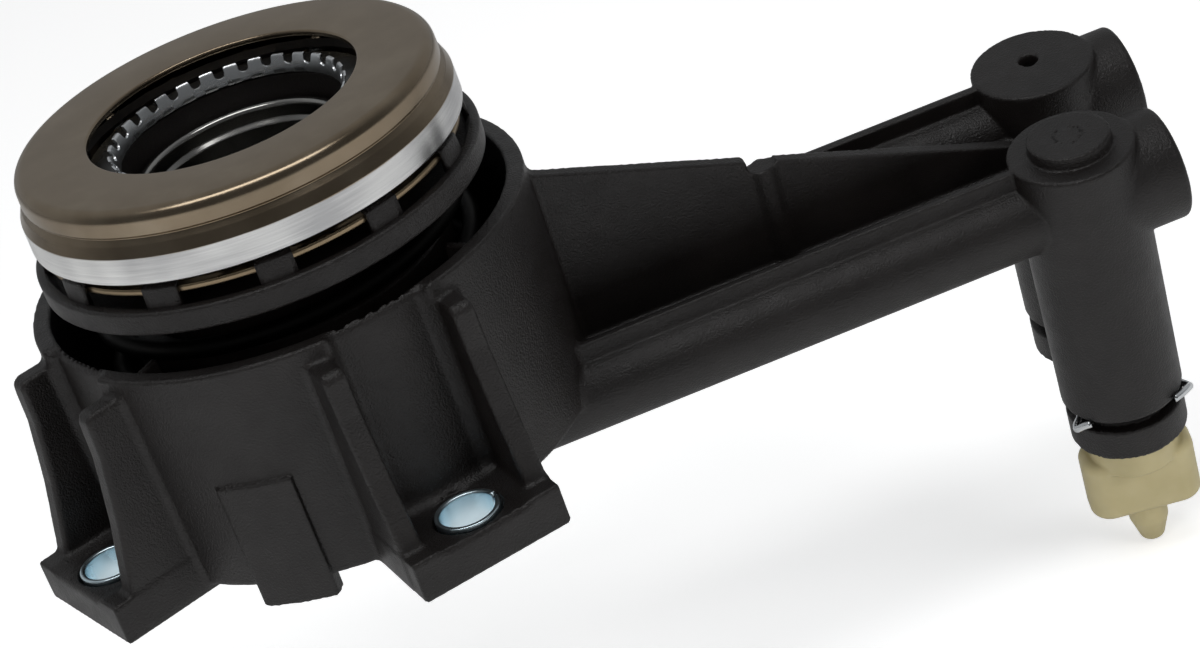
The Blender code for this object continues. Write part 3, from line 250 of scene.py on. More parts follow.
def tempered_ring_steel():
    """The thrust ring: bronze temper colour above BAND_HIGH, and below it a ground band whose tone
    is three parts of broad patches to one part of fine lines round the ring."""
    made, tree, output, place = new_material("tempered_ring_steel")
    split = add(tree, "ShaderNodeSeparateXYZ", {"Vector": place})
    edge = add(tree, "ShaderNodeMath", {0: noise(tree, place, 14, 1.0), 1: 0.5 * MM,
                                        2: (BAND_HIGH - 0.3) * MM}, operation="MULTIPLY_ADD")
    above = add(tree, "ShaderNodeMath", {0: split.outputs["Z"], 1: edge.outputs[0]}, operation="SUBTRACT")
    mask = add(tree, "ShaderNodeMapRange", {"Value": above.outputs[0], "From Min": -0.1 * MM,
                                            "From Max": 0.1 * MM})
    rings = add(tree, "ShaderNodeMapping", {"Vector": place, "Scale": (0.025, 0.025, 1.0)})
    lines = noise(tree, rings.outputs["Vector"], 0.35, 3.0, 0.65)
    smear = noise(tree, place, 7, 4.0, 0.6)
    broad = add(tree, "ShaderNodeMath", {0: noise(tree, place, 16, 2.0), 1: 0.75}, operation="MULTIPLY")
    tone = add(tree, "ShaderNodeMath", {0: lines, 1: 0.25, 2: broad.outputs[0]}, operation="MULTIPLY_ADD")
    bronze = ramp(tree, smear, [(0.3, "#857764"), (0.55, "#8E806D"), (0.75, "#988B78")])
    ground = ramp(tree, tone.outputs[0], [(0.38, "#B4B4B5"), (0.5, "#D8D8D7"), (0.62, "#F2F2F0")])
    colour = add(tree, "ShaderNodeMix", {0: mask.outputs[0], 6: ground, 7: bronze}, data_type="RGBA")
    principled(tree, output, {
        "Base Color": colour.outputs[2], "Metallic": 1.0, "Roughness": spread(tree, smear, 0.2, 0.27),
        "Normal": relief(tree, lines, 0.1, 0.04)})
    return made


ring_steel = tempered_ring_steel()

# %% [markdown]
# ## Acetal, the ball cage's painted shade and rubber
#
# The bleed screw is unfilled acetal in a pale khaki, smooth from the mould, and lets a
# little light into its surface. The ball cage is given a near-black colour, which paints
# shade into the gap under the ring's lip. The seals are black rubber, matt and soft.

# %% Mix the plastics and the rubber
def moulded_plastic(name, colour, shade, roughness, scatter=0.0):
    """Smooth moulded plastic: faint colour clouds of 5 mm and an orange-peel bump of 1.2 mm."""
    made, tree, output, place = new_material(name)
    principled(tree, output, {
        "Base Color": ramp(tree, noise(tree, place, 5, 2.0), [(0.3, shade), (0.7, colour)]),
        "Roughness": roughness, "IOR": 1.48, "Subsurface Weight": scatter,
        "Subsurface Radius": (1.2 * MM, 0.9 * MM, 0.5 * MM),
        "Normal": relief(tree, noise(tree, place, 1.2, 1.0), 0.12, 0.1)})
    return made


acetal = moulded_plastic("khaki_acetal", "#BFB38A", "#B5A97F", 0.42, scatter=0.12)
# The ball cage's near-black colour is painted shade: it keeps the gap under the thrust ring's lip dark.
cage_shade_nylon = moulded_plastic("cage_painted_shade", "#1D1B1A", "#161514", 0.45)
rubber = moulded_plastic("seal_rubber", "#1B1B1B", "#151515", 0.7)
print("materials:", sorted(m.name for m in bpy.data.materials if m.users == 0))

# %% [markdown]
# ## Putting a surface into a mesh
#
# Every piece below ends as two arrays: points in millimetres, and faces that name them.
# One function writes such arrays into a mesh, hangs the material on it, hangs the piece
# under the empty of the body it rides on, and hides the plain solids it stands for.

# %% Make a piece from arrays
def make_piece(name, points, faces, surface, body, replaces=(), sharp=None):
    """Write points (N, 3) in mm and faces (M, 3 or 4) into a smooth mesh object at the origin.
    Where sharp is given, edges that bend by more than this angle stay sharp."""
    mesh = bpy.data.meshes.new(name)
    faces = np.asarray(faces, np.int32)
    mesh.vertices.add(len(points))
    mesh.vertices.foreach_set("co", (np.asarray(points, np.float64) * MM).astype(np.float32).ravel())
    mesh.loops.add(faces.size)
    mesh.loops.foreach_set("vertex_index", faces.ravel())
    mesh.polygons.add(len(faces))
    mesh.polygons.foreach_set("loop_start", np.arange(0, faces.size, faces.shape[1], dtype=np.int32))
    mesh.polygons.foreach_set("loop_total", np.full(len(faces), faces.shape[1], np.int32))
    mesh.update(calc_edges=True)
    mesh.polygons.foreach_set("use_smooth", np.ones(len(faces), bool))
    mesh.materials.append(surface)
    if sharp is not None:
        mesh.set_sharp_from_angle(angle=math.radians(sharp))
    piece = bpy.data.objects.new(name, mesh)
    bpy.context.scene.collection.objects.link(piece)
    if body:
        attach(piece, body)
    if replaces:
        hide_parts(*replaces)
    print(f"{name}: {len(points)} points, {len(faces)} faces")
    return piece


def cap_ends(piece):
    """Close open ends and point all faces outwards."""
    bm = bmesh.new()
    bm.from_mesh(piece.data)
    bmesh.ops.holes_fill(bm, edges=[e for e in bm.edges if e.is_boundary], sides=0)
    bmesh.ops.recalc_face_normals(bm, faces=bm.faces)
    bm.to_mesh(piece.data)
    bm.free()
    return piece


# %% [markdown]
# ## A moulding as a field of distances
#
# The housing is one moulding: a cup, three feet with ribs, two pipes, fins, a web, a
# gusset and two risers, and where any two of them meet there is a small round corner that
# the toolmaker left. Those round corners are what make it look moulded. They could be
# bevelled edge by edge, but a bevel fails where several forms cross. Here the moulding is
# a field instead: for any point in space, a formula gives its distance to the surface,
# less than nothing inside. Two fields join with a fillet by one line of numpy, and the
# skin is the place where the field is nothing.

# %% Distances to simple forms
def extrusion(shape, along, low, high, edge):
    """A flat distance carried from low to high, its rims rounded: grow the two distances by the
    edge radius, take the length of their positive parts, and take the radius off again."""
    a = shape + edge
    b = np.abs(along - (low + high) / 2) - (high - low) / 2 + edge
    return np.hypot(np.maximum(a, 0), np.maximum(b, 0)) + np.minimum(np.maximum(a, b), 0) - edge


def rounded_box(point, low, high, edge):
    """A box with all its edges rounded, by the same rule in three directions."""
    q = [np.abs(p - (l + h) / 2) - (h - l) / 2 + edge for p, l, h in zip(point, low, high)]
    outside = np.sqrt(sum(np.maximum(c, 0) ** 2 for c in q))
    return outside + np.minimum(np.maximum(np.maximum(q[0], q[1]), q[2]), 0) - edge


def polygon(x, y, corners):
    """Signed distance to a flat polygon: the least distance to a side, its sign from a ray count."""
    nearest = np.full_like(x, np.inf)
    inside = np.zeros(x.shape, bool)
    for (ax, ay), (bx, by) in zip(corners, corners[1:] + corners[:1]):
        ex, ey = bx - ax, by - ay
        wx, wy = x - ax, y - ay
        share = np.clip((wx * ex + wy * ey) / (ex * ex + ey * ey), 0, 1)
        nearest = np.minimum(nearest, (wx - ex * share) ** 2 + (wy - ey * share) ** 2)
        if ay != by:
            inside ^= ((ay > y) != (by > y)) & (wx < ex * wy / ey)
    return np.where(inside, -1, 1) * np.sqrt(nearest)


def join(a, b, fillet):
    """Union with a round fillet: a quarter circle of that radius replaces the inner corner."""
    corner = np.hypot(np.maximum(fillet - a, 0), np.maximum(fillet - b, 0))
    return np.maximum(fillet, np.minimum(a, b)) - corner


def carve(a, b, edge):
    """Take b out of a and round the rim: the union rule, turned inside out."""
    return -join(-a, b, edge)


def turned_frame(x, y, degrees):
    """Coordinates along and across a direction in the XY plane."""
    c, s = math.cos(math.radians(degrees)), math.sin(math.radians(degrees))
    return x * c + y * s, y * c - x * s


# %% [markdown]
# ## The skin of a field
#
# A grid of cells is laid over the field. Every cell that the surface passes through gets
# one point, and every grid edge that crosses the surface gets one face round it, which is
# the method called surface nets. The points are then pulled evenly along the surface and
# set exactly onto it along the field's slope. Only blocks of cells near the surface are
# worked out, which makes it quick. A block is near where the field at its middle is less
# than half its diagonal, 0.87 of its side, and a third more to be safe. The normals come
# from the slope of the field too, so that highlights run smoothly round small corners.

# %% Net a field
BLOCK, BATCH, BLOCK_REACH = 8, 400, 0.87 * 1.35


def slope(field, points, reach=0.04):
    """The field's slope by differences a little way each side along X, Y and Z."""
    columns = []
    for axis in range(3):
        step = np.zeros(3, np.float64)
        step[axis] = reach
        columns.append((field(*(points + step).T) - field(*(points - step).T)) / (2 * reach))
    return np.stack(columns, 1)


def onto_surface(field, points):
    """Move points along the slope by the field's value, which sets them onto the surface."""
    grade = slope(field, points)
    size = np.maximum((grade ** 2).sum(1), 0.05)
    shift = grade * (field(*points.T) / size)[:, None]
    length = np.linalg.norm(shift, axis=1, keepdims=True)
    return points - shift * np.minimum(1, 0.3 / np.maximum(length, 1e-9))


def sampled(field, low, high, cell):
    """Values of the field on a grid, worked out only in blocks that may hold the surface."""
    counts = np.ceil((np.array(high) - low) / cell / BLOCK).astype(int)
    blocks = np.stack(np.meshgrid(*[np.arange(n) for n in counts], indexing="ij"), -1).reshape(-1, 3)
    middle = field(*(np.array(low) + (blocks + 0.5) * BLOCK * cell).T)
    values = middle.reshape(counts).astype(np.float32)
    for axis in range(3):
        values = np.repeat(values, BLOCK, axis)
    near = blocks[np.abs(middle) < BLOCK * cell * BLOCK_REACH]
    local = np.stack(np.meshgrid(*[np.arange(BLOCK)] * 3, indexing="ij"), -1).reshape(-1, 3)
    for start in range(0, len(near), BATCH):
        spots = (near[start:start + BATCH, None, :] * BLOCK + local[None]).reshape(-1, 3)
        values[tuple(spots.T)] = field(*(np.array(low) + spots * cell).T)
    return values


def net(field, low, high, cell, rounds=4):
    """Points and four-sided faces of the surface where the field is nothing."""
    values = sampled(field, low, high, cell)
    inside = values < 0
    corners = np.array([(i, j, k) for i in (0, 1) for j in (0, 1) for k in (0, 1)])
    shape = np.array(values.shape) - 1
    filled = sum(inside[i:shape[0] + i, j:shape[1] + j, k:shape[2] + k].astype(np.uint8)
                 for i, j, k in corners)
    cells = np.argwhere((filled > 0) & (filled < 8))
    number = np.full(shape, -1, np.int32)
    number[tuple(cells.T)] = np.arange(len(cells))
    total, hits = np.zeros((len(cells), 3)), np.zeros(len(cells))
    for a in corners:
        for axis in np.flatnonzero(a == 0):
            b = a.copy()
            b[axis] = 1
            va, vb = values[tuple((cells + a).T)], values[tuple((cells + b).T)]
            crossed = (va < 0) != (vb < 0)
            share = va[crossed] / (va[crossed] - vb[crossed])
            total[crossed] += a + share[:, None] * (b - a)
            hits[crossed] += 1
    points = np.array(low) + (cells + total / hits[:, None]) * cell
    faces = []
    for axis in range(3):
        one, two = [(1, 2), (2, 0), (0, 1)][axis]
        head, tail = [slice(None)] * 3, [slice(None)] * 3
        head[axis], tail[axis] = slice(1, None), slice(None, -1)
        edges = np.argwhere(inside[tuple(tail)] != inside[tuple(head)])
        edges = edges[(edges[:, one] > 0) & (edges[:, two] > 0)]
        outward = inside[tuple(edges.T)]
        unit_one, unit_two = np.eye(3, dtype=int)[one], np.eye(3, dtype=int)[two]
        shifts = (unit_one + unit_two, unit_two, 0 * unit_one, unit_one)
        quads = np.stack([number[tuple((edges - shift).T)] for shift in shifts], 1)
        faces.append(np.where(outward[:, None], quads, quads[:, ::-1]))
    faces = np.concatenate(faces)
    a, b = faces.ravel(), np.roll(faces, -1, 1).ravel()
    share = np.bincount(a, minlength=len(points)) + np.bincount(b, minlength=len(points))
    for _ in range(rounds):
        mean = np.stack([np.bincount(a, points[b, i], len(points)) + np.bincount(b, points[a, i], len(points))
                         for i in range(3)], 1) / share[:, None]
        points = onto_surface(field, points * 0.5 + mean * 0.5)
    return onto_surface(field, points), faces


# %% [markdown]
# ## The housing's form
#
# The sizes are mostly those of the plain solid, and a few follow the picture more closely.
# The cup is a drafted cylinder, 70 mm across its rim, with a hydraulic cylinder standing
# inside it. The feet are blocks with two upright ribs each. The arm has its own frame,
# rolled by seven degrees about its length, in which the two pipes lie side by side with a
# fin on each, a web between them and a tall gusset in the middle. Lengths are in
# millimetres and angles in degrees, from the tube's axis.

# %% The housing's sizes
CUP_RADIUS, CUP_DRAFT, CUP_LOW, CUP_TOP = 34.5, 0.5, 1.2, 34.0
ROOM_RADIUS, ROOM_FLOOR = 31.94, 5.0
CYLINDER_RADIUS, CYLINDER_TOP, BORE_RADIUS, TUBE_HOLE = 23.05, 30.6, 20.05, 14.3
FOOT_AZIMUTHS = (-75.5, -155.8, 64.4)
FOOT_REACH, FOOT_HALF, FOOT_TOP, BOLT_REACH = 45.77, 10.96, 6.0, 39.9
POCKET_FLOOR, POCKET_HALF = 33.4, 6.7
RIB_OUTLINE = [(31.0, 2.0), (41.2, 2.0), (41.2, 6.0), (38.9, 15.8), (37.4, 25.0), (37.2, 30.1), (31.0, 30.1)]
RIB_ROUND, RIB_INSIDE = 1.5, 7.66
TONGUE_AZIMUTH, TONGUE_HALF = -114.0, 5.32
ARM_ROLL, ARM_AXIS_Z, ARM_START = math.radians(6.82), 1.5, 29.9
PIPE_SIDE, PIPE_RADIUS, PIPE_START, FIN_TOP = 11.57, 5.5, 13.2, 8.13
BOSS_PLACE, BOSS_RADIUS, BOSS_TOP = 65.8, 2.0, 17.25
RISERS = ((106.1, -PIPE_SIDE), (110.1, PIPE_SIDE))
RISER_TOP, RISER_LOW, GROOVE_TOP, GROOVE_LOW = 8.43, -41.57, -34.57, -36.57
RISER_RADIUS, NECK_RADIUS, COLLAR_RADIUS, SOCKET_RADIUS = 9.03, 6.8, 8.6, 6.0
STUB_RADIUS, STUB_LENGTH, STUB_HOLE = 8.2, 13.3, 4.0


# %% Describe the housing
def arm_frame(y, z):
    """Coordinates across and above the arm, whose frame is rolled about X."""
    c, s = math.cos(ARM_ROLL), math.sin(ARM_ROLL)
    return y * c + (z - ARM_AXIS_Z) * s, (z - ARM_AXIS_Z) * c - y * s


def foot_field(x, y, z, azimuth):
    """One foot: a block, and two ribs that lean in towards the cup's rim."""
    u, v = turned_frame(x, y, azimuth)
    lug = rounded_box((u, v, z), (30.0, -FOOT_HALF, 0), (FOOT_REACH, FOOT_HALF, FOOT_TOP), 0.45)
    ribs = extrusion(polygon(u, z, RIB_OUTLINE) - RIB_ROUND, np.abs(v), RIB_INSIDE, FOOT_HALF, 0.75)
    return join(lug, ribs, 0.7)


def riser_field(x, across, above, place, top_pad):
    """A riser: a long cylinder, a neck for the clip, and a collar; and the stub and pipe it meets.
    Its radius shrinks by 0.15 from top to bottom, the draft that frees it from the tool."""
    radial = np.hypot(x - place, across)
    sideways = np.hypot(across, above)
    drafted = RISER_RADIUS - 0.15 * np.clip((RISER_TOP - above) / (RISER_TOP - GROOVE_TOP), 0, 1)
    field = extrusion(radial - drafted, above, GROOVE_TOP, RISER_TOP, 0.5)
    field = join(field, extrusion(radial - NECK_RADIUS, above, GROOVE_LOW - 1, GROOVE_TOP + 1, 0.1), 0.1)
    field = join(field, extrusion(radial - COLLAR_RADIUS, above, RISER_LOW, GROOVE_LOW, 0.3), 0.1)
    stub = extrusion(sideways - STUB_RADIUS, x, place, place + STUB_LENGTH, 0.7)
    pipe = extrusion(sideways - PIPE_RADIUS, x, PIPE_START, place, 0.3)
    fin = rounded_box((x, across, above), (ARM_START, -0.75, 0), (place - 6.0, 0.75, FIN_TOP), 0.3)
    field = join(field, stub, 0.35)
    field = join(field, join(pipe, fin, 0.4), 0.4)
    if top_pad:
        pad = extrusion(radial - 5.9, above, RISER_TOP - 1, RISER_TOP + 1.9, 0.35)
        mark = extrusion(np.abs(radial - 2.0) - 0.12, above, RISER_TOP + 1.75, RISER_TOP + 3, 0.05)
        field = carve(join(field, pad, 0.3), mark, 0.05)
    else:
        dimple = np.hypot(x - place, across - 1.2) - 1.4
        field = carve(field, extrusion(dimple, above, RISER_TOP - 2.4, RISER_TOP + 4, 0.3), 0.3)
    return field


def arm_field(x, y, z):
    """The arm: web, gusset with its ejector boss, and the two risers with their pipes."""
    across, above = arm_frame(y, z)
    web_low, web_high = (ARM_START, -PIPE_SIDE, -1.2), (RISERS[0][0], PIPE_SIDE, 1.2)
    web = rounded_box((x, across, above), web_low, web_high, 0.3)
    slant = [(ARM_START, -0.6), (101.6, -0.6), (101.6, 4.55), (31.5, 30.7), (ARM_START, 30.7)]
    gusset = extrusion(polygon(x, above, slant), across, -1.1, 1.1, 0.35)
    boss = extrusion(np.hypot(x - BOSS_PLACE, across) - BOSS_RADIUS, above, 0, BOSS_TOP, 0.3)
    field = join(web, join(gusset, boss, 0.5), 0.8)
    notch = rounded_box((x, across, above), (63.7, -2.7, 16.8), (67.9, 2.7, 31.0), 0.6)
    field = carve(field, notch, 0.3)
    for (place, side), pad in zip(RISERS, (True, False)):
        field = join(field, riser_field(x, across - side, above, place, pad), 0.5)
    return field


def housing_field(x, y, z):
    """The whole moulding: everything joined first, then hollowed."""
    radial = np.hypot(x, y)
    cup = CUP_RADIUS + CUP_DRAFT * np.clip((z - CUP_LOW) / (CUP_TOP - CUP_LOW), 0, 1)
    field = extrusion(radial - cup, z, CUP_LOW, CUP_TOP, 0.5)
    for azimuth in FOOT_AZIMUTHS:
        field = join(field, foot_field(x, y, z, azimuth), 0.9)
    u, v = turned_frame(x, y, TONGUE_AZIMUTH)
    outward = np.where(u > 0, radial, 0)
    tongue = rounded_box((outward, v, z), (32.7, -TONGUE_HALF, -1.7), (35.35, TONGUE_HALF, 17.3), 0.3)
    field = join(field, tongue, 0.2)
    field = join(field, arm_field(x, y, z), 0.8)
    for azimuth in FOOT_AZIMUTHS:
        u, v = turned_frame(x, y, azimuth)
        outward = np.where(u > 0, radial, 0)
        pocket = rounded_box((outward, v, z), (POCKET_FLOOR, -POCKET_HALF, FOOT_TOP),
                             (60, POCKET_HALF, 60), 1.4)
        bolt = np.hypot(u - BOLT_REACH, v)
        field = carve(field, pocket, 1.4)
        field = carve(field, extrusion(bolt - 4.8, z, -3, 9, 0.1), 0.25)
        field = carve(field, extrusion(bolt - 5.7, z, 5.6, 9, 0.1), 0.2)
    room = ROOM_RADIUS + CUP_DRAFT * np.clip((z - ROOM_FLOOR) / (CUP_TOP - ROOM_FLOOR), 0, 1)
    field = carve(field, extrusion(radial - room, z, ROOM_FLOOR, 60, 0.8), 0.4)
    field = join(field, extrusion(radial - CYLINDER_RADIUS, z, CUP_LOW, CYLINDER_TOP, 0.5), 0.8)
    fold_x, fold_y = (np.abs(x) + np.abs(y)) / math.sqrt(2), (np.abs(x) - np.abs(y)) / math.sqrt(2)
    field = join(field, rounded_box((fold_x, fold_y, z), (28.44, -0.5, 3.0), (33.6, 0.5, 33.4), 0.3), 0.35)
    field = carve(field, extrusion(radial - BORE_RADIUS, z, ROOM_FLOOR, 40, 0.4), 0.4)
    field = carve(field, extrusion(radial - TUBE_HOLE, z, -8, 40, 0.2), 0.3)
    across, above = arm_frame(y, z)
    for (place, side), depth in zip(RISERS, (25.2, 20.0)):
        socket = np.hypot(x - place, across - side) - SOCKET_RADIUS
        field = carve(field, extrusion(socket, above, RISER_LOW - 9, RISER_LOW + depth, 0.5), 0.4)
        hole = np.hypot(across - side, above) - STUB_HOLE
        field = carve(field, extrusion(hole, x, place + 7.3, place + 20, 0.2), 0.4)
    return field


# %% Net the housing and hang it in three pieces
HOUSING_CELL = 0.48
points, faces = net(housing_field, (-48.2, -49.0, -44.0), (125.4, 48.0, 36.0), HOUSING_CELL)
print("housing:", len(points), "points,", len(faces), "faces")


def part_between(points, faces, low, high):
    """Keep the faces that reach into the slice from low to high along X, numbered afresh."""
    reach = points[faces][:, :, 0]
    kept = faces[(reach.max(1) > low) & (reach.min(1) < high)]
    used, fresh = np.unique(kept, return_inverse=True)
    return points[used], fresh.reshape(kept.shape)


def slice_and_shade(piece, field, cuts=()):
    """Cut the piece by upright planes, close each cut with a flat cap, then give every point the
    field's own slope as its normal, so that both sides of a cut shade as one."""
    mesh = piece.data
    bm = bmesh.new()
    bm.from_mesh(mesh)
    for place, side in cuts:
        everything = bm.verts[:] + bm.edges[:] + bm.faces[:]
        made = bmesh.ops.bisect_plane(bm, geom=everything, plane_co=(place * MM, 0, 0),
                                      plane_no=(side, 0, 0), clear_outer=True)
        rim = [e for e in made["geom_cut"] if isinstance(e, bmesh.types.BMEdge)]
        bmesh.ops.triangle_fill(bm, edges=rim, use_beauty=True, use_dissolve=False, normal=(side, 0, 0))
    bm.to_mesh(mesh)
    bm.free()
    spots = np.zeros(len(mesh.vertices) * 3)
    mesh.vertices.foreach_get("co", spots)
    facing = slope(field, spots.reshape(-1, 3) / MM)
    facing /= np.maximum(np.linalg.norm(facing, axis=1, keepdims=True), 1e-9)
    mesh.normals_split_custom_set_from_vertices(facing.tolist())
    return piece


CUTS = (-math.inf, 0.0, 40.0, math.inf)
for name, low, high in zip(("housing_cup_left", "housing_cup_right", "housing_arm"), CUTS, CUTS[1:]):
    some, fresh = part_between(points, faces, low, high)
    made = make_piece(name, some, fresh, nylon, "housing", ["housing"])
    planes = [(place, side) for place, side in ((low, -1), (high, 1)) if math.isfinite(place)]
    slice_and_shade(made, housing_field, planes)

# %% [markdown]
# ## Turned pieces
#
# Rings and tubes are a profile carried round an axis. The profile is drawn as a few
# corners, each with its own radius, and a short function turns every corner into an arc.
# Carrying it round is one outer product: the radius times the cosine and the sine of the
# angle, and the height as it is. The thrust ring's lip is thin and undercut, which leaves
# the gap below it dark, and a shallow groove parts its shoulder from the ground band.

# %% Round a profile and carry it round
def rounded_profile(corners, steps=5):
    """Corners of (r, z, radius): each becomes an arc that touches both its sides."""
    spots = np.array([c[:2] for c in corners], float)
    out = []
    for i, (_, _, radius) in enumerate(corners):
        here, before, after = spots[i], spots[i - 1], spots[(i + 1) % len(spots)]
        a, b = before - here, after - here
        la, lb = np.linalg.norm(a), np.linalg.norm(b)
        a, b = a / la, b / lb
        half = math.acos(float(np.clip(a @ b, -1, 1))) / 2
        if radius <= 0 or half > math.pi / 2 - 0.02:
            out.append(here[None])
            continue
        reach = min(radius / math.tan(half), la * 0.49, lb * 0.49)
        radius = reach * math.tan(half)
        centre = here + (a + b) / np.linalg.norm(a + b) * radius / math.sin(half)
        first, last = here + a * reach - centre, here + b * reach - centre
        turn = math.atan2(first[0] * last[1] - first[1] * last[0], first @ last)
        angles = np.linspace(0, turn, steps + 1)
        c, s = np.cos(angles), np.sin(angles)
        out.append(centre + np.stack([first[0] * c - first[1] * s, first[0] * s + first[1] * c], 1))
    return np.concatenate(out)


def grid_faces(rows, columns, wrap_rows, wrap_columns):
    """Four-sided faces of a grid of points, joined end to end where it wraps."""
    i = np.arange(rows if wrap_rows else rows - 1)
    j = np.arange(columns if wrap_columns else columns - 1)
    i, j = (a.ravel() for a in np.meshgrid(i, j, indexing="ij"))
    k, l = (i + 1) % rows, (j + 1) % columns
    return np.stack([i * columns + j, i * columns + l, k * columns + l, k * columns + j], 1)


def turned(profile, steps=192):
    """Carry a closed profile of (r, z) round Z: x = r cos t, y = r sin t."""
    angle = np.linspace(0, math.tau, steps, endpoint=False)[:, None]
    r, z = profile[:, 0][None], profile[:, 1][None]
    points = np.stack([r * np.cos(angle), r * np.sin(angle), z + 0 * angle], -1).reshape(-1, 3)
    faces = grid_faces(steps, len(profile), True, True)
    after = np.roll(profile, -1, 0)
    area = np.sum(profile[:, 0] * after[:, 1] - after[:, 0] * profile[:, 1])
    return points, faces[:, ::-1] if area > 0 else faces


# %% Thrust ring
BALL_CIRCLE, BALL_HEIGHT, TRACK_RADIUS = 24.6, 49.2, 3.4
LIP_RADIUS, RING_TOP = 18.8, 55.38


def ball_track(first, last, count):
    """Corners (r, z, 0) along the balls' track, from one angle in its section to another."""
    angles = np.radians(np.linspace(first, last, count))
    return [(BALL_CIRCLE + TRACK_RADIUS * math.cos(a), BALL_HEIGHT + TRACK_RADIUS * math.sin(a), 0.0)
            for a in angles]


ring_corners = [(28.0, BAND_LOW, 0.3), (30.44, BAND_LOW, 0.35), (30.38, BAND_HIGH, 0.5), (29.75, 50.95, 1.0),
                (29.1, 51.75, 0.2), (29.45, 52.15, 0.3), (29.35, RING_TOP, 3.1), (LIP_RADIUS, RING_TOP, 0.35),
                (LIP_RADIUS, 54.55, 0.2), (23.2, 54.3, 0.3), (24.0, 52.7, 0.2), (BALL_CIRCLE, 52.6, 0.0)]
points, faces = turned(rounded_profile(ring_corners + ball_track(80, 0, 9), 9), 256)
make_piece("thrust_ring_turned", points, faces, ring_steel, "thrust_ring", ["thrust_ring"],
           sharp=30)

# %% Bearing carrier
carrier_corners = [(16.3, 50.3, 0.3), (18.7, 50.3, 0.3), (18.7, 43.0, 0.1), (21.5, 43.0, 0.2),
                   (21.5, 40.65, 0.2), (29.11, 40.65, 0.3), (29.86, 41.95, 0.25), (31.36, 41.95, 0.5),
                   (31.36, 38.56, 0.5), (27.4, 38.56, 0.1), (27.4, 39.26, 0.2), (24.2, 39.26, 0.2),
                   (24.2, 38.56, 0.1), (21.3, 38.56, 0.1), (21.3, 36.56, 0.3), (19.3, 36.56, 0.3),
                   (19.3, 38.56, 0.1), (16.3, 38.56, 0.2)]
points, faces = turned(rounded_profile(carrier_corners, 4), 192)
make_piece("bearing_carrier_plate", points, faces, nylon, "piston", ["bearing_carrier"],
           sharp=30)


def clip_tabs(count, phase, span):
    """Clip tabs: one rounded hook profile carried through a short arc for every tab."""
    hook = rounded_profile([(29.35, 40.0, 0), (30.3, 40.0, 0), (29.95, 44.7, 0.25), (28.7, 45.1, 0.2),
                            (28.7, 44.6, 0.1), (29.35, 44.5, 0.1)], 3)
    across = np.radians(np.linspace(-span / 2, span / 2, 7))
    middle = np.radians(phase + 360 * np.arange(count) / count)
    angle = (middle[:, None] + across[None])[:, :, None]
    r, z = hook[:, 0][None, None], hook[:, 1][None, None]
    points = np.stack([r * np.cos(angle), r * np.sin(angle), z + 0 * angle], -1)
    one = grid_faces(len(across), len(hook), False, True)
    size = len(across) * len(hook)
    faces = (one[None] + size * np.arange(count)[:, None, None]).reshape(-1, 4)
    return points.reshape(-1, 3), faces[:, ::-1]


points, faces = clip_tabs(12, -2.0, 9.6)
cap_ends(make_piece("carrier_tabs", points, faces, nylon, "piston", sharp=30))

# %% Inner race and guide tube
race_corners = [(19.0, 43.3, 0.3), (29.3, 43.3, 0.3), (29.3, 44.3, 0.3), (26.3, 44.3, 0.3),
                *ball_track(-65, -180, 10), (21.2, 50.6, 0.3), (19.0, 50.6, 0.3)]
points, faces = turned(rounded_profile(race_corners, 3), 160)
make_piece("inner_race_pressed", points, faces, race_bronze, "piston", ["inner_race"],
           sharp=30)

tube_corners = [(13.0, CUP_LOW, 0.2), (14.0, CUP_LOW, 0.2), (14.0, 45.8, 0.15), (15.05, 45.8, 0.85),
                (15.05, 47.6, 0.85), (13.4, 47.6, 0.75), (13.55, 45.3, 0.4), (13.0, 44.7, 0.4)]
points, faces = turned(rounded_profile(tube_corners, 6), 160)
make_piece("guide_tube_drawn", points, faces, drawn_steel, "housing", ["guide_tube"], sharp=40)

# %% [markdown]
# ## The toothed ring
#
# A stamped spring ring holds the bearing on the carrier's neck. Its inner edge stands up
# as a band, flares a little outwards, and is cut into 29 teeth by slots with round
# bottoms. It is a strip carried round the axis, whose top follows the slots: level on a
# tooth, straight down at a slot's side, and a half circle at its bottom. The samples are
# set close where the edge turns, so that few of them draw it cleanly.

# %% Toothed ring
RING_TEETH, RING_FOOT, RING_TIP, SLOT_DEPTH, SLOT_HALF = 29, 50.75, 53.3, 1.3, 0.72
BAND_RADIUS, BAND_WALL, BAND_FLARE = 15.55, 0.42, 0.8


def slot_edge():
    """Angle within one pitch, and the edge's height, from the middle of a slot to the next. The
    slot's bottom is a half circle: with t from 0 to 90 degrees and r half the slot's width, the
    angle is r sin t over the band's radius, and the height rises by r (1 - cos t)."""
    pitch = math.tau / RING_TEETH
    half = SLOT_HALF / BAND_RADIUS
    turn = np.radians(np.linspace(0, 90, 7))
    bottom, centre = half * np.sin(turn), RING_TIP - SLOT_DEPTH + SLOT_HALF * (1 - np.cos(turn))
    tooth = np.array([half * 1.03, half * 1.12, half * 1.35, pitch / 4 + half / 2, pitch / 2])
    crown = np.array([RING_TIP - 0.22, RING_TIP - 0.06, RING_TIP, RING_TIP, RING_TIP])
    across, height = np.concatenate([bottom, tooth]), np.concatenate([centre, crown])
    back = slice(-2, 0, -1)
    return np.concatenate([across, pitch - across[back]]), np.concatenate([height, height[back]])


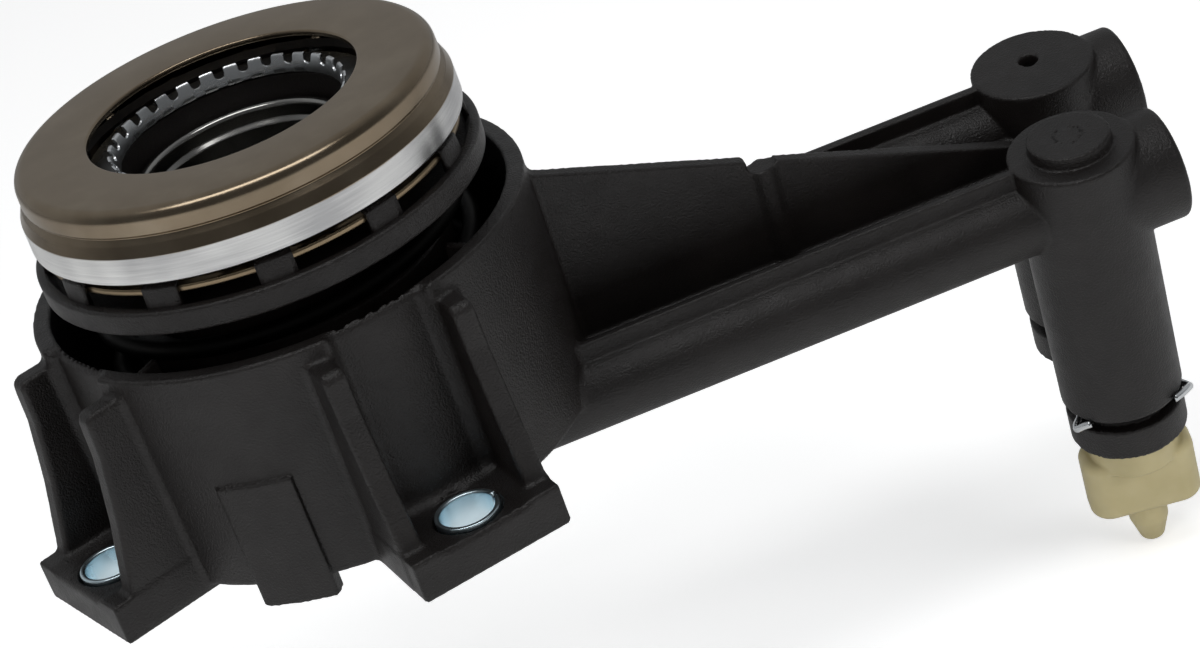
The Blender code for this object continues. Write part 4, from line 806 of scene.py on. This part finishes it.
def toothed_ring():
    """Radius and height over the angle and the way along the bent strip: the band's radius grows
    with the height above its foot to the power 1.6, which gives the flare."""
    across, top = slot_edge()
    angle = (across[None] + math.tau / RING_TEETH * np.arange(RING_TEETH)[:, None]).ravel()
    top = np.tile(top, RING_TEETH)[:, None]
    foot, wall = RING_FOOT, BAND_RADIUS
    up = np.array([0.0, 0.12, 0.3, 0.5, 0.7, 0.86, 0.96, 1.0])[None]
    inner_z = foot + (top - foot) * up
    flare = BAND_FLARE * ((inner_z - foot) / (RING_TIP - foot)) ** 1.6
    inner = np.stack([wall + flare + 0.16 * (up <= 0) + 0.08 * (up >= 1), inner_z], -1)
    outer = np.stack([wall + BAND_WALL + flare - 0.08 * (up >= 1), inner_z], -1)[:, 7:1:-1]
    flange = np.array([(wall + 0.73, foot + 0.75), (wall + 1.2, foot + 0.6), (20.3, foot + 0.6),
                       (20.3, foot + 0.15), (wall + 1.0, foot + 0.15), (wall + 0.58, foot + 0.02)])
    strip = np.concatenate([inner, outer, np.repeat(flange[None], len(angle), 0)], 1)
    r, z = strip[..., 0], strip[..., 1]
    points = np.stack([r * np.cos(angle)[:, None], r * np.sin(angle)[:, None], z], -1).reshape(-1, 3)
    return points, grid_faces(len(angle), strip.shape[1], True, True)


points, faces = toothed_ring()
make_piece("toothed_ring_stamped", points, faces, stamped_steel, "piston",
           ["toothed_ring"], sharp=35)

# %% [markdown]
# ## The bleed screw
#
# The screw is one acetal moulding: a stem in the riser's socket, a neck, a flat wing for
# the fingers and a small nozzle for the bleed hose. The same field of distances as the
# housing's gives its soft corners.

# %% Bleed screw
STEM_RADIUS, WING_TURN, WING_ROUND = 5.7, -11.0, 3.3


def screw_field(x, y, z):
    """Stem, neck, wing and nozzle about the riser's axis, with the nozzle's hole carved out."""
    across, above = arm_frame(y, z)
    place, side = RISERS[0]
    along, across = x - place, across - side
    radial = np.hypot(along, across)
    cone = extrusion(radial - 1.2 - np.clip(-17.27 - above, 0, 4) * 1.125, above, -22.0, -17.27, 0.1)
    groove = extrusion(np.abs(radial - STEM_RADIUS) - 1.5, above, -26.67, -24.27, 0.1)
    stem = extrusion(radial - STEM_RADIUS, above, RISER_LOW - 1, -21.3, 0.3)
    stem = carve(join(stem, cone, 0.1), groove, 0.1)
    neck = extrusion(radial - 6.4, above, -47.0, -41.87, 0.3)
    long, short = turned_frame(along, across, WING_TURN)
    plan = np.hypot(np.maximum(np.abs(long) - 5.1, 0), np.maximum(np.abs(short) - 1.0, 0)) - WING_ROUND
    wing = extrusion(plan, above, -56.0, -45.7, 1.3)
    nozzle = extrusion(radial - 2.95 + 0.3 * np.clip(-59.6 - above, 0, 5), above, -63.6, -55.0, 0.5)
    field = join(join(join(stem, neck, 0.2), wing, 0.4), nozzle, 0.5)
    return carve(field, extrusion(radial - 1.0, above, -70, -54.0, 0.2), 0.2)


points, faces = net(screw_field, (95.0, -18.0, -66.0), (118.0, 4.0, -14.0), 0.3)
screw = make_piece("bleed_screw_moulded", points, faces, acetal, "bleed_screw", ["bleed_screw"])
slice_and_shade(screw, screw_field)

# %% [markdown]
# ## Sleeves, clips and the preload spring
#
# The bolt sleeves are strips of steel rolled round until their ends nearly meet. The
# clips and the spring are round wire bent along a path. A wire is a circle carried along
# the path: at every point of it, two directions square to the path give the circle's
# plane. The spring climbs a little slower near its ends, as a coil with closed ends does.

# %% Bolt sleeves
def sleeve(azimuth, slit=10.2):
    """A rounded wall profile carried from one lip of the slit round to the other, lips closed."""
    corners = [(3.75, 0.0, 0.25), (4.5, 0.0, 0.2), (4.5, FOOT_TOP, 0.2), (3.75, FOOT_TOP, 0.3)]
    wall = rounded_profile(corners, 4)
    angle = np.radians(np.linspace(90 + slit / 2, 450 - slit / 2, 97))[:, None]
    r, z = wall[:, 0][None], wall[:, 1][None]
    u, v = BOLT_REACH + r * np.cos(angle), r * np.sin(angle)
    c, s = math.cos(math.radians(azimuth)), math.sin(math.radians(azimuth))
    points = np.stack([u * c - v * s, u * s + v * c, z + 0 * angle], -1).reshape(-1, 3)
    return points, grid_faces(len(angle), len(wall), False, True)[:, ::-1]


for index, azimuth in enumerate(FOOT_AZIMUTHS, start=1):
    points, faces = sleeve(azimuth)
    cap_ends(make_piece(f"bolt_sleeve_{index}_rolled", points, faces, blue_zinc, "housing",
                        [f"bolt_sleeve_{index}"], sharp=40))

# %% Wires
def wire(path, radius, sides=12):
    """A circle carried along a path: the first side direction is square to the path and to up."""
    path = np.asarray(path, float)
    tangent = np.gradient(path, axis=0)
    tangent /= np.linalg.norm(tangent, axis=1, keepdims=True)
    side = np.cross(tangent, (0.0, 0.12, 0.99))
    side /= np.linalg.norm(side, axis=1, keepdims=True)
    other = np.cross(side, tangent)
    angle = np.linspace(0, math.tau, sides, endpoint=False)
    ring = np.cos(angle)[None, :, None] * side[:, None] + np.sin(angle)[None, :, None] * other[:, None]
    points = (path[:, None] + radius * ring).reshape(-1, 3)
    return points, grid_faces(len(path), sides, False, True)


def arm_to_world(x, across, above):
    """Points given in the arm's frame, turned back into the model's."""
    c, s = math.cos(ARM_ROLL), math.sin(ARM_ROLL)
    return np.stack([x, across * c - above * s, ARM_AXIS_Z + across * s + above * c], -1)


def soften(path, rounds=4):
    """Cut the corners of a path: each side keeps its points at a quarter and at three quarters."""
    path = np.asarray(path, float)
    for _ in range(rounds):
        here, after = path[:-1], path[1:]
        cut = np.stack([here * 0.75 + after * 0.25, here * 0.25 + after * 0.75], 1).reshape(-1, 3)
        path = np.concatenate([path[:1], cut, path[-1:]])
    return path


CLIP_RADIUS, CLIP_WIRE, CLIP_HEIGHT = 7.45, 0.55, (GROOVE_TOP + GROOVE_LOW) / 2
CLIP_ENDS = {"bleed": ([(5.0, -7.9, 1.5), (6.6, -6.8, 1.0), (8.3, -5.0, 0.1), (9.1, -3.6, -0.9),
                        (7.6, -1.8, -0.5)],
                       [(-7.3, -1.6, 0.0), (-8.6, -2.6, -0.4), (-9.0, -3.4, -0.8), (-8.3, -4.4, 0.2),
                        (-7.3, -5.6, 1.1)]),
             "feed": ([(CLIP_RADIUS, -0.4, 0.0)], [(-CLIP_RADIUS, -0.4, 0.0)])}
for label, (place, side) in zip(("bleed", "feed"), RISERS):
    turn = np.radians(np.linspace(4, 176, 24))
    round_neck = np.stack([CLIP_RADIUS * np.cos(turn), CLIP_RADIUS * np.sin(turn), 0 * turn], 1)
    right_end, left_end = CLIP_ENDS[label]
    x, across, above = soften(np.concatenate([right_end, round_neck, left_end])).T
    points, faces = wire(arm_to_world(place + x, side + across, above + CLIP_HEIGHT), CLIP_WIRE)
    cap_ends(make_piece(f"{label}_clip_wire", points, faces, bright_zinc, "housing",
                        [f"{label}_clip"], sharp=50))

# %% Preload spring
SPRING_TURNS, SPRING_RADIUS, SPRING_WIRE, SPRING_LOW, SPRING_HIGH = 4.5, 25.8, 1.3, 6.6, 37.66
share = np.linspace(0, SPRING_TURNS, 360) / SPRING_TURNS
rise = 0.35 * (0.5 - 0.5 * np.cos(math.pi * share)) + 0.65 * share
turn = math.tau * SPRING_TURNS * share
path = np.stack([SPRING_RADIUS * np.cos(turn), SPRING_RADIUS * np.sin(turn),
                 SPRING_LOW + (SPRING_HIGH - SPRING_LOW) * rise], 1)
points, faces = wire(path, SPRING_WIRE, 14)
# The coil wears the shade-darkened steel, whose dark tint is painted shade.
spring = cap_ends(make_piece("preload_spring_coil", points, faces, spring_steel, None,
                             ["preload_spring"], sharp=50))
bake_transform(spring)

# %% [markdown]
# ## Pieces that keep their solids
#
# The piston, the seals, the ball cage and the balls are hidden or nearly so, and their
# imported solids already have the right shape. They keep it, and only get their materials.

# %% Dress the solids that stay
# The ball cage takes the near-black colour that paints shade under the ring's lip.
kept = {"piston": nylon, "piston_seal": rubber, "tube_seal": rubber, "bleed_seal": rubber,
        "ball_cage": cage_shade_nylon, "bleed_gallery_plug": plug_nylon, "feed_gallery_plug": plug_nylon}
kept.update({name: ball_steel for name in nodes if name.startswith("ball_") and name != "ball_cage"})
for name, surface in kept.items():
    nodes[name].data.materials.clear()
    nodes[name].data.materials.append(surface)
print("kept solids:", len(kept))

# %% [markdown]
# ## Floor, lamps and background
#
# The picture was taken on white paper with soft lamps. The floor and the world are white
# to the camera, through Light Path. What the part mirrors is the room: the lit paper
# below, a pale wall behind, and a dark side where the photographer stands, which is why
# its upright faces are lighter than the tops of its pipes. One lamp hangs overhead and
# draws the bright line along the thrust ring's shoulder. Two fill lamps only give matt
# light, as through a wide diffuser, and don't show in the gloss.

# %% Stage
FLOOR_REACH, FLOOR_GAP = 3.0, 0.3 * MM
floor_corners = [(x * FLOOR_REACH, y * FLOOR_REACH, cad_low.z - FLOOR_GAP)
                 for x, y in ((-1, -1), (1, -1), (1, 1), (-1, 1))]
floor_mesh = bpy.data.meshes.new("floor")
floor_mesh.from_pydata(floor_corners, [], [(0, 1, 2, 3)])
floor = bpy.data.objects.new("floor", floor_mesh)
bpy.context.scene.collection.objects.link(floor)
floor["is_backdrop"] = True


def white_floor():
    """Diffuse white plus a little light of its own for the camera, so that it reads as white paper."""
    made, tree, output, place = new_material("white_floor")
    path = add(tree, "ShaderNodeLightPath")
    paper = add(tree, "ShaderNodeBsdfDiffuse", {"Color": linear("#F4F4F4")})
    glow = add(tree, "ShaderNodeEmission", {"Color": (1, 1, 1, 1), "Strength": 0.5})
    both = add(tree, "ShaderNodeAddShader", {0: paper.outputs[0], 1: glow.outputs[0]})
    mixed = add(tree, "ShaderNodeMixShader", {0: path.outputs["Is Camera Ray"], 1: paper.outputs[0],
                                              2: both.outputs[0]})
    tree.links.new(mixed.outputs[0], output.inputs["Surface"])
    return made


floor_mesh.materials.append(white_floor())

world = bpy.data.worlds.new("studio")
world.use_nodes = True
bpy.context.scene.world = world
tree = world.node_tree
tree.nodes.clear()
path = add(tree, "ShaderNodeLightPath")
around = add(tree, "ShaderNodeTexCoord").outputs["Generated"]
direction = add(tree, "ShaderNodeSeparateXYZ", {"Vector": around})
depth = add(tree, "ShaderNodeMapRange", {"Value": direction.outputs["Y"], "From Min": -0.3, "From Max": 0.6,
                                         "To Min": 0.12, "To Max": 0.38}, interpolation_type="SMOOTHSTEP")
room = add(tree, "ShaderNodeBackground", {"Color": linear("#F6F8FA"), "Strength": depth.outputs["Result"]})
white = add(tree, "ShaderNodeBackground", {"Color": (1, 1, 1, 1), "Strength": 1.0})
mixed = add(tree, "ShaderNodeMixShader", {0: path.outputs["Is Camera Ray"], 1: room.outputs[0],
                                          2: white.outputs[0]})
tree.links.new(mixed.outputs[0], add(tree, "ShaderNodeOutputWorld").inputs["Surface"])


def soft_lamp(name, place, target, size, watts):
    """A white rectangular lamp that faces its target."""
    data = bpy.data.lights.new(name, "AREA")
    data.shape = "RECTANGLE"
    data.size, data.size_y = size
    data.energy = watts
    lamp = bpy.data.objects.new(name, data)
    lamp.location = place
    lamp.rotation_euler = (Vector(target) - Vector(place)).to_track_quat("-Z", "Y").to_euler()
    bpy.context.scene.collection.objects.link(lamp)
    return lamp


soft_lamp("overhead_lamp", (0.0, -0.20, 0.78), (0.03, 0, 0), (0.8, 0.2), 2.2)
for side, place in (("left", (-0.70, -0.65, 0.35)), ("right", (0.75, -0.65, 0.35))):
    soft_lamp(f"{side}_fill_lamp", place, (0.03, 0, 0.0), (0.6, 0.6), 4.2).visible_glossy = False

bpy.context.scene.view_settings.view_transform = "Standard"

# %% Measure and finish
low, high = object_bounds()
print("outside the solids by, in mm:", [round(max(a - b, 0) / MM, 3) for a, b in zip(cad_low, low)],
      [round(max(b - a, 0) / MM, 3) for a, b in zip(cad_high, high)])
